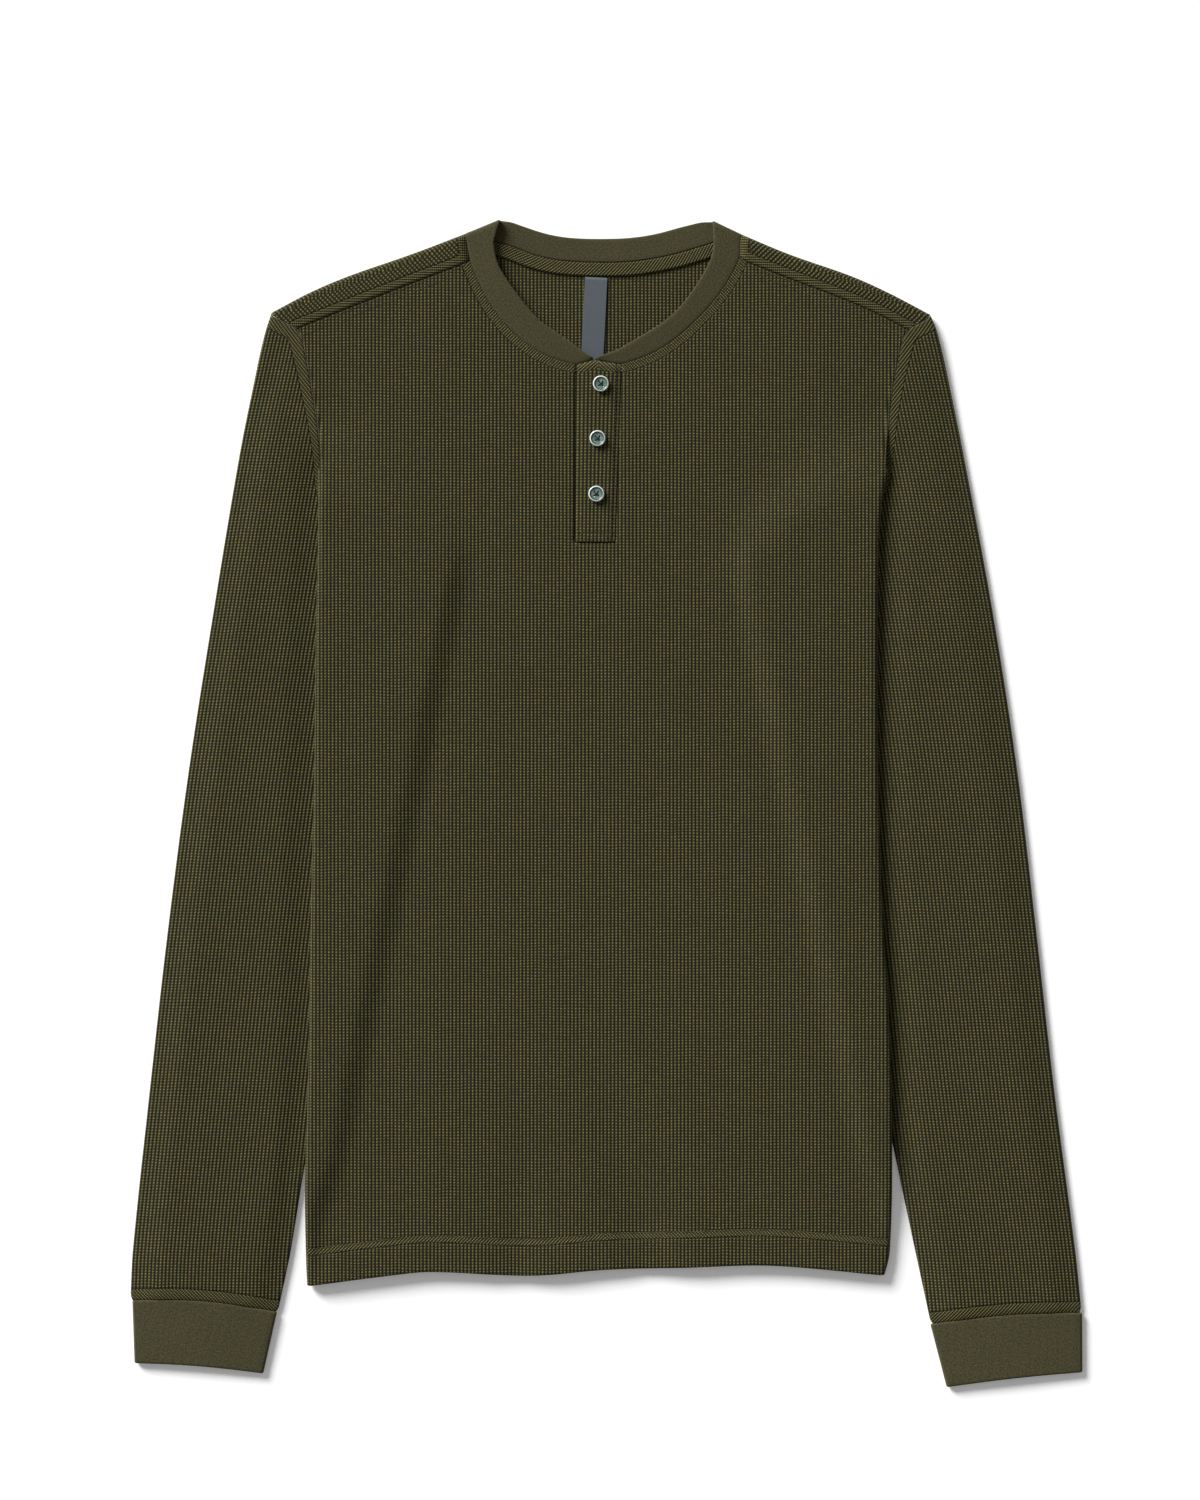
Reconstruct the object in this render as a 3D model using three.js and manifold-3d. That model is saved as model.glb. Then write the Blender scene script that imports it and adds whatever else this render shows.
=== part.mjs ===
// A long-sleeved henley shirt in waffle knit, laid flat, seen from above with its collar towards +Y.
// The body lies on the sleeves, with both of its sides turned under. Millimetres, +Z up from the surface.
import * as THREE from 'three';
import { mergeVertices } from 'three/addons/utils/BufferGeometryUtils.js';
import Module from 'manifold-3d';

const wasm = await Module();
wasm.setup();

// Cloth
const KNIT = 1.3; // waffle knit
const GAP = 0.4; // between plies that lie on each other
const PLY = KNIT + GAP;
const SEAM = 0.3; // between pieces at a seam
const RIB = 1.8; // doubled smooth band of the collar and cuffs
const HEM_RISE = 0.5; // the turned hem stands this much above the front
const HEM_DEPTH = 22;
const HEM_Y = -312; // the hem's height at its middle

// How high the layers lie
const FOLD_RADIUS = 2 * PLY - GAP / 2; // outside of the fold at each side of the body
const CENTRE_LOFT = 3.1; // the front stands this far off the back, between the turned sides
const EDGE_LOFT = 0.75; // share of that loft at the armholes
const LOFT_WIDTH = 60; // the loft is full this far in from them
const SLEEVE_FLAT = PLY + KNIT; // a sleeve pressed flat under the body
const SLEEVE_LOFT = 2.3;
const PRESSED_ROLL = SLEEVE_FLAT / 2;

// How the body's sides turn under
const FLAP = 75; // how far in the side seam lies under the body
const ARMPIT_Y = 162;
const FLAP_TOP_Y = 222; // where the armhole seam slips under the side
const SETTLE = 63; // over this width the body comes down beside its turned-under side
const FLAP_MARGIN = 12;
const FLAP_END = { below: 26, over: 66 }; // the body's sides come down over this height, round FLAP_TOP_Y
const SLEEVE_END = { margin: 11, wristMargin: 2, settle: 20, wristHeight: 60, armpitHeight: 60 };
const WRIST_Y = -290; // below the place where the sleeve comes out from under the body
const FULL_ROLL = Math.PI * FOLD_RADIUS;

// Placket
const PLACKET_WIDTH = 27;
const PLACKET_FOOT_Y = 173.3;
const PLACKET_HEIGHT = 118;
const PLACKET_FLARE = 3.2; // how much wider the placket is at its top
const PLACKET_THICK = 1.8;
const PLACKET_RISE = 0.8; // its face stands this much above the front

// Sides of the body: x of the fold, or of the armhole seam above it, for each height y
const LEFT_SIDE = [
  { y: -322, x: -198.2 }, { y: -296, x: -199.4 }, { y: -243, x: -200 }, { y: -162, x: -197.5 },
  { y: -81, x: -196.5 }, { y: 1, x: -194.4 }, { y: 93, x: -193.1 }, { y: 174, x: -191.5 },
  { y: 201, x: -191 }, { y: 222, x: -189.6 }, { y: 246, x: -191.2 }, { y: 270, x: -194.8 },
  { y: 294, x: -199 }, { y: 315.7, x: -205.5 }, { y: 326.7, x: -222.3 },
];
const RIGHT_SIDE = [
  { y: -314, x: 185.4 }, { y: -296, x: 189.4 }, { y: -225, x: 190.8 }, { y: -135, x: 188.6 },
  { y: -81, x: 184.9 }, { y: 1, x: 182.1 }, { y: 93, x: 181.1 }, { y: 174, x: 182.2 },
  { y: 201, x: 184 }, { y: 222, x: 186.4 }, { y: 246, x: 188 }, { y: 270, x: 190.4 },
  { y: 294, x: 194.6 }, { y: 315.1, x: 201.3 }, { y: 325.3, x: 216.3 },
];

// Hem: y of its edge for each x
const HEM = [
  { x: -200, y: -322 }, { x: -144, y: -314.7 }, { x: -117, y: -312.2 }, { x: -50, y: -314.7 },
  { x: 0, y: -310.8 }, { x: 56, y: -309.3 }, { x: 110, y: -308 }, { x: 190, y: -315 },
];

// Soft folds that rise from the hem: x at the hem, lean per mm of height, depth, half width and length
const HEM_FOLDS = [
  { x: -108, lean: -0.04, depth: -1.5, width: 15, length: 150 },
  { x: -62, lean: 0.03, depth: -1.2, width: 13, length: 110 },
  { x: -28, lean: 0.02, depth: 0.5, width: 16, length: 90 },
  { x: 26, lean: -0.2, depth: -1.5, width: 16, length: 170 },
  { x: 62, lean: -0.1, depth: 0.5, width: 16, length: 110 },
  { x: 94, lean: -0.03, depth: -1.1, width: 15, length: 100 },
];

// Front neck: each row gives a point of the seam and the point of the band's free edge across from it,
// from the centre front up to the fold at the side of the neck
const LEFT_NECK = [
  { x: -19.4, y: 291.9, edgeX: -15.5, edgeY: 301 }, { x: -30.6, y: 294.7, edgeX: -24, edgeY: 307.5 },
  { x: -42.8, y: 299.8, edgeX: -33.8, edgeY: 314 }, { x: -54.9, y: 307.8, edgeX: -44, edgeY: 321.5 },
  { x: -65.2, y: 317.3, edgeX: -53, edgeY: 331.5 }, { x: -73.7, y: 327.8, edgeX: -60.5, edgeY: 341.3 },
  { x: -80.4, y: 338.7, edgeX: -66.3, edgeY: 349.7 }, { x: -85.8, y: 349.9, edgeX: -70.8, edgeY: 357.3 },
  { x: -90.1, y: 361, edgeX: -73.4, edgeY: 366 }, { x: -91.9, y: 370.5, edgeX: -74.3, edgeY: 373.7 },
];
const RIGHT_NECK = [
  { x: 10.8, y: 292.4, edgeX: 8.5, edgeY: 302.2 }, { x: 21.7, y: 295.6, edgeX: 17.5, edgeY: 307.3 },
  { x: 34.4, y: 301.2, edgeX: 27, edgeY: 313 }, { x: 47.2, y: 309.7, edgeX: 37.4, edgeY: 319.5 },
  { x: 59.6, y: 320.9, edgeX: 48, edgeY: 328.7 }, { x: 70.4, y: 332.4, edgeX: 56.5, edgeY: 339.2 },
  { x: 79.2, y: 344, edgeX: 63, edgeY: 349 }, { x: 85.3, y: 354.6, edgeX: 68.5, edgeY: 358.7 },
  { x: 88.9, y: 363, edgeX: 71, edgeY: 365.5 }, { x: 89.6, y: 371, edgeX: 72, edgeY: 372.5 },
];
const LEFT_FOLD = { x: -93.6, y: 379.3, edgeX: -70.5, edgeY: 388.6 };
const RIGHT_FOLD = { x: 90.6, y: 378.9, edgeX: 71.7, edgeY: 387.7 };
const LEFT_TIP = { x: -8.2, y: 295.2, edgeX: -8.3, edgeY: 296.6 }; // the two ends meet at the centre front
const RIGHT_TIP = { x: -7, y: 295.2, edgeX: -6.9, edgeY: 296.6 };

// Shoulders, from the tip to the neck: the fold that is seen from above, and the forward seam in front of it
const LEFT_SHOULDER = [
  { x: -222.3, y: 326.7, seamX: -205.5, seamY: 315.7 }, { x: -197, y: 340, seamX: -185, seamY: 323.8 },
  { x: -170.3, y: 351.3, seamX: -158, seamY: 334.5 }, { x: -130, y: 365.3, seamX: -122, seamY: 348.4 },
  { x: -95.6, y: 378.2, seamX: -90.4, seamY: 360.2 },
];
const RIGHT_SHOULDER = [
  { x: 216.3, y: 325.3, seamX: 201.3, seamY: 315.1 }, { x: 189.7, y: 339.3, seamX: 181, seamY: 325.7 },
  { x: 163, y: 351.3, seamX: 155, seamY: 336.8 }, { x: 123, y: 365.3, seamX: 119, seamY: 350.4 },
  { x: 92.5, y: 377.9, seamX: 89.2, seamY: 362.2 },
];

// Back neck: seam points and the free edge across from them, left to right
const BACK_NECK = [
  { x: -82.5, y: 376.4, edgeX: -62.5, edgeY: 386.8 }, { x: -72.8, y: 374.3, edgeX: -54.5, edgeY: 384.2 },
  { x: -61, y: 370.6, edgeX: -46, edgeY: 381.3 }, { x: -48, y: 365.6, edgeX: -36.5, edgeY: 378.7 },
  { x: -33.8, y: 362.2, edgeX: -25.5, edgeY: 376.9 }, { x: -17, y: 360.7, edgeX: -12.8, edgeY: 376.1 },
  { x: 0, y: 360.3, edgeX: 0, edgeY: 376 }, { x: 17, y: 360.9, edgeX: 12.8, edgeY: 376.4 },
  { x: 33.8, y: 363.3, edgeX: 25.5, edgeY: 377.8 }, { x: 48, y: 366.4, edgeX: 37, edgeY: 380.1 },
  { x: 61, y: 370.2, edgeX: 47.5, edgeY: 383 }, { x: 72, y: 373.6, edgeX: 56.5, edgeY: 385.3 },
  { x: 81.5, y: 376.4, edgeX: 64.5, edgeY: 387.1 },
];

// Sleeve outer edges: x for each y, from the shoulder tip to the cuff
const LEFT_OUTER = [
  { y: -331.3, x: -316.6 }, { y: -298, x: -315 }, { y: -191, x: -303.7 }, { y: -85, x: -291.7 },
  { y: 22, x: -277.7 }, { y: 129, x: -261 }, { y: 235, x: -243 }, { y: 289, x: -231.7 },
  { y: 315, x: -225.9 }, { y: 326.7, x: -222.3 },
];
const RIGHT_OUTER = [
  { y: -339.5, x: 317.3 }, { y: -298, x: 313 }, { y: -191, x: 299 }, { y: -85, x: 287 },
  { y: 22, x: 274.3 }, { y: 129, x: 257.7 }, { y: 235, x: 237.7 }, { y: 289, x: 226.3 },
  { y: 315, x: 220.2 }, { y: 325.3, x: 216.3 },
];
// Sleeve inner edges, from the armpit under the body to the cuff
const LEFT_INNER = [
  { y: -338.9, x: -218.3 }, { y: -298, x: -209.7 }, { y: -241.3, x: -200.3 }, { y: -110, x: -173.2 },
  { y: 26, x: -145.1 }, { y: 162, x: -117 },
];
const RIGHT_INNER = [
  { y: -347, x: 216.8 }, { y: -298, x: 206.3 }, { y: -244.7, x: 195 }, { y: -110, x: 166.4 },
  { y: 26, x: 137.4 }, { y: 162, x: 108.3 },
];

// Cuffs: corners at the sleeve and at the open end
const LEFT_CUFF = {
  sleeveOuter: { x: -315.2, y: -331.9 }, sleeveInner: { x: -219, y: -339.6 },
  endOuter: { x: -313.8, y: -373 }, endInner: { x: -228, y: -379.9 }, bulge: 3.3,
};
const RIGHT_CUFF = {
  sleeveOuter: { x: 317.6, y: -340.2 }, sleeveInner: { x: 216.6, y: -347.8 },
  endOuter: { x: 317.8, y: -379.1 }, endInner: { x: 227.3, y: -389.1 }, bulge: 2.2,
};

const SIDES = [
  {
    name: 'left', sign: -1, edge: LEFT_SIDE, shoulder: LEFT_SHOULDER, neck: LEFT_NECK, fold: LEFT_FOLD,
    tip: LEFT_TIP, outer: LEFT_OUTER, inner: LEFT_INNER, cuff: LEFT_CUFF,
  },
  {
    name: 'right', sign: 1, edge: RIGHT_SIDE, shoulder: RIGHT_SHOULDER, neck: RIGHT_NECK, fold: RIGHT_FOLD,
    tip: RIGHT_TIP, outer: RIGHT_OUTER, inner: RIGHT_INNER, cuff: RIGHT_CUFF,
  },
];

// Buttons
const BUTTON_RADIUS = 5.3;
const BUTTON_THICK = 2.4;
const BUTTONS = [
  { name: 'button_top', x: -3.1, y: 279.1 },
  { name: 'button_middle', x: -5.3, y: 242.7 },
  { name: 'button_bottom', x: -6.1, y: 205.8 },
];

// Back neck tape and label
const TAPE_WIDTH = 9.3;
const TAPE_THICK = 0.8;
const LABEL = { width: 14.9, thick: 0.6, topX: -6.2, topY: 350.2, endX: -9, endY: 293.5 };

const OLIVE = new THREE.Color().setStyle('rgb(65, 62, 43)');
const OLIVE_RIB = new THREE.Color().setStyle('rgb(71, 69, 48)');

// Small helpers
const lerp = THREE.MathUtils.lerp;
const vector = (x, y, z) => new THREE.Vector3(x, y, z);

function smooth(t) {
  const u = THREE.MathUtils.clamp(t, 0, 1);
  return u * u * (3 - 2 * u);
}

// A smooth function through a table's rows, from its column `from` to its column `to`.
function lookup(rows, from, to) {
  const slope = (a, b) => (rows[b][to] - rows[a][to]) / (rows[b][from] - rows[a][from]);
  const last = rows.length - 1;
  const tangents = rows.map((row, i) => slope(Math.max(i - 1, 0), Math.min(i + 1, last)));
  return (value) => {
    const v = THREE.MathUtils.clamp(value, rows[0][from], rows[last][from]);
    let i = 0;
    while (i < last - 1 && v > rows[i + 1][from]) {
      i += 1;
    }
    const width = rows[i + 1][from] - rows[i][from];
    const t = (v - rows[i][from]) / width;
    const bend = (1 - t) * (1 - t) * t * tangents[i] - (1 - t) * t * t * tangents[i + 1];
    return rows[i][to] + smooth(t) * (rows[i + 1][to] - rows[i][to]) + width * bend;
  };
}

// A table's points as a smooth curve in the plane, read by its share of length.
function trace(points) {
  const curve = new THREE.CatmullRomCurve3(points.map((p) => vector(p.x, p.y, 0)), false, 'centripetal');
  return (share) => curve.getPointAt(THREE.MathUtils.clamp(share, 0, 1));
}

for (const side of SIDES) {
  side.edgeX = lookup(side.edge, 'y', 'x');
  side.outerX = lookup(side.outer, 'y', 'x');
  side.innerX = lookup(side.inner, 'y', 'x');
}
const hemY = lookup(HEM, 'x', 'y');
const PLACKET_LEAN = [-6.8, -4.3]; // x of the placket's middle at its foot and at its top
const placketX = (y) => lerp(...PLACKET_LEAN, (y - PLACKET_FOOT_Y) / PLACKET_HEIGHT);
const sideAt = (x) => (x < 0 ? SIDES[0] : SIDES[1]);

// Heights of the layers at a place

// How far in the turned-under side reaches at a height y.
function flapWidth(y) {
  if (y <= ARMPIT_Y) {
    return FLAP;
  }
  const rise = THREE.MathUtils.clamp((FLAP_TOP_Y - y) / (FLAP_TOP_Y - ARMPIT_Y), 0, 1);
  return FLAP * (1 - Math.sqrt(1 - rise * rise));
}

// 1 where the sleeve lies under the body, down to 0 past its inner edge. Above the armpit it goes back to 1.
function sleeveUnder(side, x, y) {
  const past = side.sign * (side.innerX(y) - x);
  const atWrist = 1 - smooth((y - WRIST_Y) / SLEEVE_END.wristHeight);
  const margin = lerp(SLEEVE_END.margin, SLEEVE_END.wristMargin, atWrist);
  const below = 1 - smooth((past - margin) / SLEEVE_END.settle);
  return lerp(below, 1, smooth((y - ARMPIT_Y) / SLEEVE_END.armpitHeight));
}

// 1 over the turned-under side, down to 0 past its inner end and above the armhole's foot.
function flapUnder(side, x, y) {
  const inward = side.sign * (side.edgeX(y) - x);
  const across = 1 - smooth((inward - flapWidth(y) - FLAP_MARGIN) / SETTLE);
  return across * (1 - smooth((y - FLAP_TOP_Y + FLAP_END.below) / FLAP_END.over));
}

// The underside of the back.
function backHeight(x, y) {
  const side = sideAt(x);
  return flapUnder(side, x, y) * 2 * PLY * (1 + sleeveUnder(side, x, y));
}

function hemFolds(x, y) {
  let height = 0;
  for (const fold of HEM_FOLDS) {
    const up = y - HEM[4].y;
    const across = (x - fold.x - fold.lean * up) / fold.width;
    height += fold.depth * Math.exp(-across * across) * (1 - smooth(up / fold.length));
  }
  return height;
}

// The upper face of the front, and of the strip of the back that comes over the shoulder.
function frontHeight(x, y) {
  const side = sideAt(x);
  const inward = side.sign * (side.edgeX(y) - x);
  const free = 1 - flapUnder(side, x, y);
  const loft = CENTRE_LOFT * free * lerp(EDGE_LOFT, 1, smooth(inward / LOFT_WIDTH));
  return backHeight(x, y) + PLY + KNIT + loft + free * hemFolds(x, y);
}

// One closed wall over a grid of places. pair(i, j) gives the two points of its faces there, the first one
// on the side that the grid's columns and rows turn towards. Cells that present refuses are left out, and
// a ring joins its last column to its first. turned says which cells are split along their other diagonal.
function wallGeometry({ columns, rows, pair, present = () => true, turned = () => false, ring = false }) {
  const positions = [];
  const triangles = [];
  const places = new Map();
  const cellColumns = ring ? columns : columns - 1;
  const wrap = (i) => (ring ? (i + columns) % columns : i);
  const filled = (i, j) => {
    const inside = wrap(i) >= 0 && wrap(i) < cellColumns && j >= 0 && j < rows - 1;
    return inside && present(wrap(i), j);
  };
  const vertex = (corner, face) => {
    const [i, j] = [wrap(corner[0]), corner[1]];
    const key = `${i} ${j}`;
    if (!places.has(key)) {
      places.set(key, positions.length / 3);
      pair(i, j).forEach((point) => positions.push(point.x, point.y, point.z));
    }
    return places.get(key) + face;
  };
  const triangle = (a, b, c) => {
    triangles.push(vertex(a, 0), vertex(b, 0), vertex(c, 0));
    triangles.push(vertex(a, 1), vertex(c, 1), vertex(b, 1));
  };
  for (let j = 0; j < rows - 1; j += 1) {
    for (let i = 0; i < cellColumns; i += 1) {
      if (!filled(i, j)) {
        continue;
      }
      const corners = [[i, j], [i + 1, j], [i + 1, j + 1], [i, j + 1]];
      const start = turned(i, j) ? 1 : 0;
      const at = (k) => corners[(start + k) % 4];
      triangle(at(0), at(1), at(2));
      triangle(at(0), at(2), at(3));
      const beside = [[i, j - 1], [i + 1, j], [i, j + 1], [i - 1, j]];
      beside.forEach(([ni, nj], k) => {
        if (!filled(ni, nj)) {
          const [from, to] = [corners[k], corners[(k + 1) % 4]];
          triangles.push(vertex(to, 0), vertex(from, 0), vertex(from, 1));
          triangles.push(vertex(to, 0), vertex(from, 1), vertex(to, 1));
        }
      });
    }
  }
  const geometry = new THREE.BufferGeometry();
  geometry.setAttribute('position', new THREE.Float32BufferAttribute(positions, 3));
  geometry.setIndex(triangles);
  return geometry;
}

const shirt = new THREE.Group();

function add(name, geometry, color, roughness = 0.95) {
  geometry.computeVertexNormals();
  const mesh = new THREE.Mesh(geometry, new THREE.MeshStandardMaterial({ color, roughness, metalness: 0 }));
  mesh.name = name;
  shirt.add(mesh);
}

// The body's grid. Its columns run from the inner end of the left turned-under side, out round the fold,
// over the body and back under on the right. Line k counts from either end to the placket's edge.
const TURNED_IN = [FLAP, 56, 37, 18, FOLD_RADIUS]; // inward places of the lines under the body
const ROLL_STEPS = 3; // cells round the fold
const EDGE_LINE = TURNED_IN.length + ROLL_STEPS - 2; // the armhole's edge, above the fold
const TOP_LINE = EDGE_LINE + 1; // where the flat top begins
const CORNER_LINE = TOP_LINE + LEFT_SHOULDER.length - 1; // the corner of neck and shoulder seam
const SLOT_LINE = CORNER_LINE + LEFT_NECK.length - 2; // the placket's edge
const CENTRE_COLUMN = SLOT_LINE + 1;
const BODY_COLUMNS = 2 * CENTRE_COLUMN + 1;

// Rows: heights above the hem up to the placket's foot, then heights of the side's edge up to the shoulder
const LOW_ROWS = [0, HEM_DEPTH, HEM_DEPTH + 3, 60, 100, 140, 180, 220, 260, 300, 340, 380, 420, 450, 474, 485.3];
const LOW_SPAN = LOW_ROWS.at(-1);
const HIGH_ROWS = [186, 198, 210, FLAP_TOP_Y, 246, 270, 294, 315.7];
const FOOT_ROW = LOW_ROWS.length - 1;
const FLAP_TOP_ROW = FOOT_ROW + HIGH_ROWS.indexOf(FLAP_TOP_Y) + 1;
const FRONT_TOP_ROW = FOOT_ROW + HIGH_ROWS.length; // the forward shoulder seam and the front neck
const BACK_TOP_ROW = FRONT_TOP_ROW + 1; // the back goes on to the shoulder's fold and the back neck
const BACK_HIGH_ROWS = [...HIGH_ROWS, 324.3];

// How the side's edge turns under above the armpit: how far it curls, and how much cloth goes round
const WHOLE_TURN = FULL_ROLL + FLAP - FOLD_RADIUS;
const TURNS = [
  { y: ARMPIT_Y, curl: 1, cloth: WHOLE_TURN }, { y: PLACKET_FOOT_Y, curl: 1, cloth: 40 },
  { y: 186, curl: 1, cloth: 22 }, { y: 198, curl: 1, cloth: 13 }, { y: 210, curl: 0.75, cloth: 8 },
  { y: FLAP_TOP_Y, curl: 0.35, cloth: 4.5 },
];
const BARE_TURN = TURNS[3].cloth; // with less cloth, the edge hasn't come all the way round

function lineAt(i) {
  const right = i > CENTRE_COLUMN;
  return { side: SIDES[right ? 1 : 0], k: right ? BODY_COLUMNS - 1 - i : i, centre: i === CENTRE_COLUMN };
}

const columnOf = (side, k) => (side.sign < 0 ? k : BODY_COLUMNS - 1 - k);

function turnAt(y) {
  const i = TURNS.findIndex((row) => row.y >= y - 0.01);
  if (i <= 0) {
    return i === 0 ? TURNS[0] : TURNS.at(-1);
  }
  const share = (y - TURNS[i - 1].y) / (TURNS[i].y - TURNS[i - 1].y);
  return {
    curl: lerp(TURNS[i - 1].curl, TURNS[i].curl, share), cloth: lerp(TURNS[i - 1].cloth, TURNS[i].cloth, share),
  };
}

// Cloth between the flat top and line k, measured round the fold, where `total` goes round in all.
function clothTo(k, total) {
  const step = FULL_ROLL / ROLL_STEPS;
  if (k >= TURNED_IN.length) {
    const onRoll = step * (TOP_LINE - k);
    return total >= BARE_TURN ? onRoll : step + ((onRoll - step) * (total - step)) / (BARE_TURN - step);
  }
  const beyond = (TURNED_IN[k] - FOLD_RADIUS) / (FLAP - FOLD_RADIUS);
  if (total >= BARE_TURN) {
    return lerp(FULL_ROLL, total, beyond);
  }
  const bare = lerp(FULL_ROLL, BARE_TURN, beyond);
  return step + ((bare - step) * (total - step)) / (BARE_TURN - step);
}

// Length of the first cell along the shoulder's seam and along its fold
const SHOULDER_STEP = { seam: 25, fold: 28 };

// Point of the top edge where line k of a side ends.
function frontEnd(side, k) {
  if (k >= CORNER_LINE) {
    const row = side.neck[SLOT_LINE - k];
    return { x: row.x, y: row.y };
  }
  const along = k === TOP_LINE ? FOLD_RADIUS / SHOULDER_STEP.seam : Math.max(k - TOP_LINE, 0);
  const row = side.shoulder[Math.floor(along)];
  const next = side.shoulder[Math.floor(along) + 1];
  const share = along % 1;
  return { x: lerp(row.seamX, next.seamX, share), y: lerp(row.seamY, next.seamY, share) };
}

const backNeck = trace([LEFT_FOLD, ...BACK_NECK, RIGHT_FOLD]);
const NECK_CELLS = 2 * (CENTRE_COLUMN - CORNER_LINE);

// Where line k meets the shoulder's fold, and the way straight out from that fold.
function shoulderFold(side, k) {
  const along = k === TOP_LINE ? FOLD_RADIUS / SHOULDER_STEP.fold : Math.max(k - TOP_LINE, 0);
  const row = side.shoulder[Math.floor(along)];
  const next = side.shoulder[Math.min(Math.floor(along) + 1, side.shoulder.length - 1)];
  const share = along % 1;
  const [first, last] = [side.shoulder[0], side.shoulder.at(-1)];
  const lean = Math.atan2(last.y - first.y, Math.abs(last.x - first.x));
  const out = { x: side.sign * Math.sin(lean), y: Math.cos(lean) };
  return { x: lerp(row.x, next.x, share), y: lerp(row.y, next.y, share), out };
}

function backEnd(side, k, centre) {
  if (centre || k > CORNER_LINE) {
    const across = centre ? 0.5 : (k - CORNER_LINE) / NECK_CELLS;
    return backNeck(side.sign < 0 || centre ? across : 1 - across);
  }
  const fold = shoulderFold(side, k);
  const radius = frontHeight(fold.x, fold.y) / 2;
  return { x: fold.x - fold.out.x * radius, y: fold.y - fold.out.y * radius };
}

// Place in the plane of a line of the body's top, for the front or the back.
function bodyPlace(i, j, ends, highRows) {
  const { side, k, centre } = lineAt(i);
  const slotX = (y) => placketX(y) + (centre ? 0 : (side.sign * PLACKET_WIDTH) / 2);
  const lowX = (y) => {
    const edge = side.edgeX(y);
    const inner = TURNED_IN.length - 1 - (k - TOP_LINE);
    if (centre) {
      return slotX(y);
    }
    if (k < TOP_LINE) {
      return edge;
    }
    if (inner >= 0) {
      return edge - side.sign * TURNED_IN[inner];
    }
    return lerp(edge - side.sign * FLAP, slotX(y), -inner / (SLOT_LINE - TOP_LINE - TURNED_IN.length + 1));
  };
  if (j <= FOOT_ROW) {
    const share = LOW_ROWS[j] / LOW_SPAN;
    const x = lowX(lerp(HEM_Y, PLACKET_FOOT_Y, share));
    return { x, y: lerp(hemY(x), PLACKET_FOOT_Y, share) };
  }
  const share = (highRows[j - FOOT_ROW - 1] - PLACKET_FOOT_Y) / (highRows.at(-1) - PLACKET_FOOT_Y);
  const end = ends(side, k, centre);
  const edgeEnd = ends(side, EDGE_LINE, false);
  const edgeY = lerp(PLACKET_FOOT_Y, edgeEnd.y, share);
  const edgeX = share === 1 ? edgeEnd.x : side.edgeX(edgeY);
  const bend = edgeX - lerp(side.edgeX(PLACKET_FOOT_Y), edgeEnd.x, share);
  const fade = centre ? 0 : (1 - Math.max(k - TOP_LINE, 0) / (SLOT_LINE - TOP_LINE)) ** 2;
  return {
    x: lerp(lowX(PLACKET_FOOT_Y), end.x, share) + bend * fade,
    y: lerp(PLACKET_FOOT_Y, end.y, share),
  };
}

const placeFront = (i, j) => bodyPlace(i, j, frontEnd, HIGH_ROWS);
const placeBack = (i, j) => bodyPlace(i, j, backEnd, BACK_HIGH_ROWS);

// The two faces of the body's wall at column i and row j. `depths` are their places inside the fold at the
// side, measured in from the outer face of the front, and height gives the upper one on the flat top.
function bodyPair(i, j, place, height, depths) {
  const { side, k } = lineAt(i);
  if (k >= TOP_LINE || j > FLAP_TOP_ROW) {
    const { x, y } = place(i, j);
    return depths.map((depth) => vector(x, y, height(x, y) + depths[0] - depth));
  }
  const start = place(columnOf(side, TOP_LINE), j);
  const top = height(start.x, start.y) + depths[0];
  const turn = turnAt(start.y);
  const cloth = clothTo(k, turn.cloth);
  const radius = FOLD_RADIUS / turn.curl;
  const angle = cloth / radius;
  if (angle < Math.PI + 0.01) {
    return depths.map((depth) => vector(
      start.x + side.sign * (radius - depth) * Math.sin(angle),
      start.y,
      top - radius + (radius - depth) * Math.cos(angle),
    ));
  }
  const above = place(columnOf(side, 2 * EDGE_LINE - ROLL_STEPS + 2 - k), j);
  const whole = start.y <= ARMPIT_Y + 1;
  const x = whole ? above.x : start.x - side.sign * (cloth - FULL_ROLL);
  const y = whole ? above.y : start.y;
  return depths.map((depth) => vector(x, y, 2 * PLY * sleeveUnder(side, x, y) + depth));
}

const bodyTurned = (i) => i < TOP_LINE || i >= BODY_COLUMNS - 1 - TOP_LINE;

// Cells of the front and back: no turned-under side above the armhole's foot.
function bodyPresent(i, j) {
  const k = Math.min(i, BODY_COLUMNS - 2 - i);
  return k >= EDGE_LINE || j < FLAP_TOP_ROW;
}

const FRONT_DEPTHS = [0, KNIT];
const BACK_DEPTHS = [PLY, PLY + KNIT];

function frontPair(i, j) {
  const pair = bodyPair(i, j, placeFront, frontHeight, FRONT_DEPTHS);
  if (j <= 1 && lineAt(i).k > TOP_LINE) {
    pair[0].z += HEM_RISE;
  }
  if (j === FRONT_TOP_ROW && lineAt(i).k <= CORNER_LINE) {
    pair.forEach((point) => { point.y -= SEAM; });
  }
  return pair;
}

add('front_panel', wallGeometry({
  columns: BODY_COLUMNS,
  rows: FRONT_TOP_ROW + 1,
  pair: frontPair,
  present: (i, j) => bodyPresent(i, j) && !(j >= FOOT_ROW && i >= SLOT_LINE && i < BODY_COLUMNS - 1 - SLOT_LINE),
  turned: bodyTurned,
}), OLIVE);

// The back also goes round the shoulders' folds and down to the forward seams.
const SHOULDER_ROLL = [60, 120, 180].map(THREE.MathUtils.degToRad);
const BACK_ROWS = BACK_TOP_ROW + SHOULDER_ROLL.length + 2;
const backTopHeight = (x, y) => backHeight(x, y) + KNIT;

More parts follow.
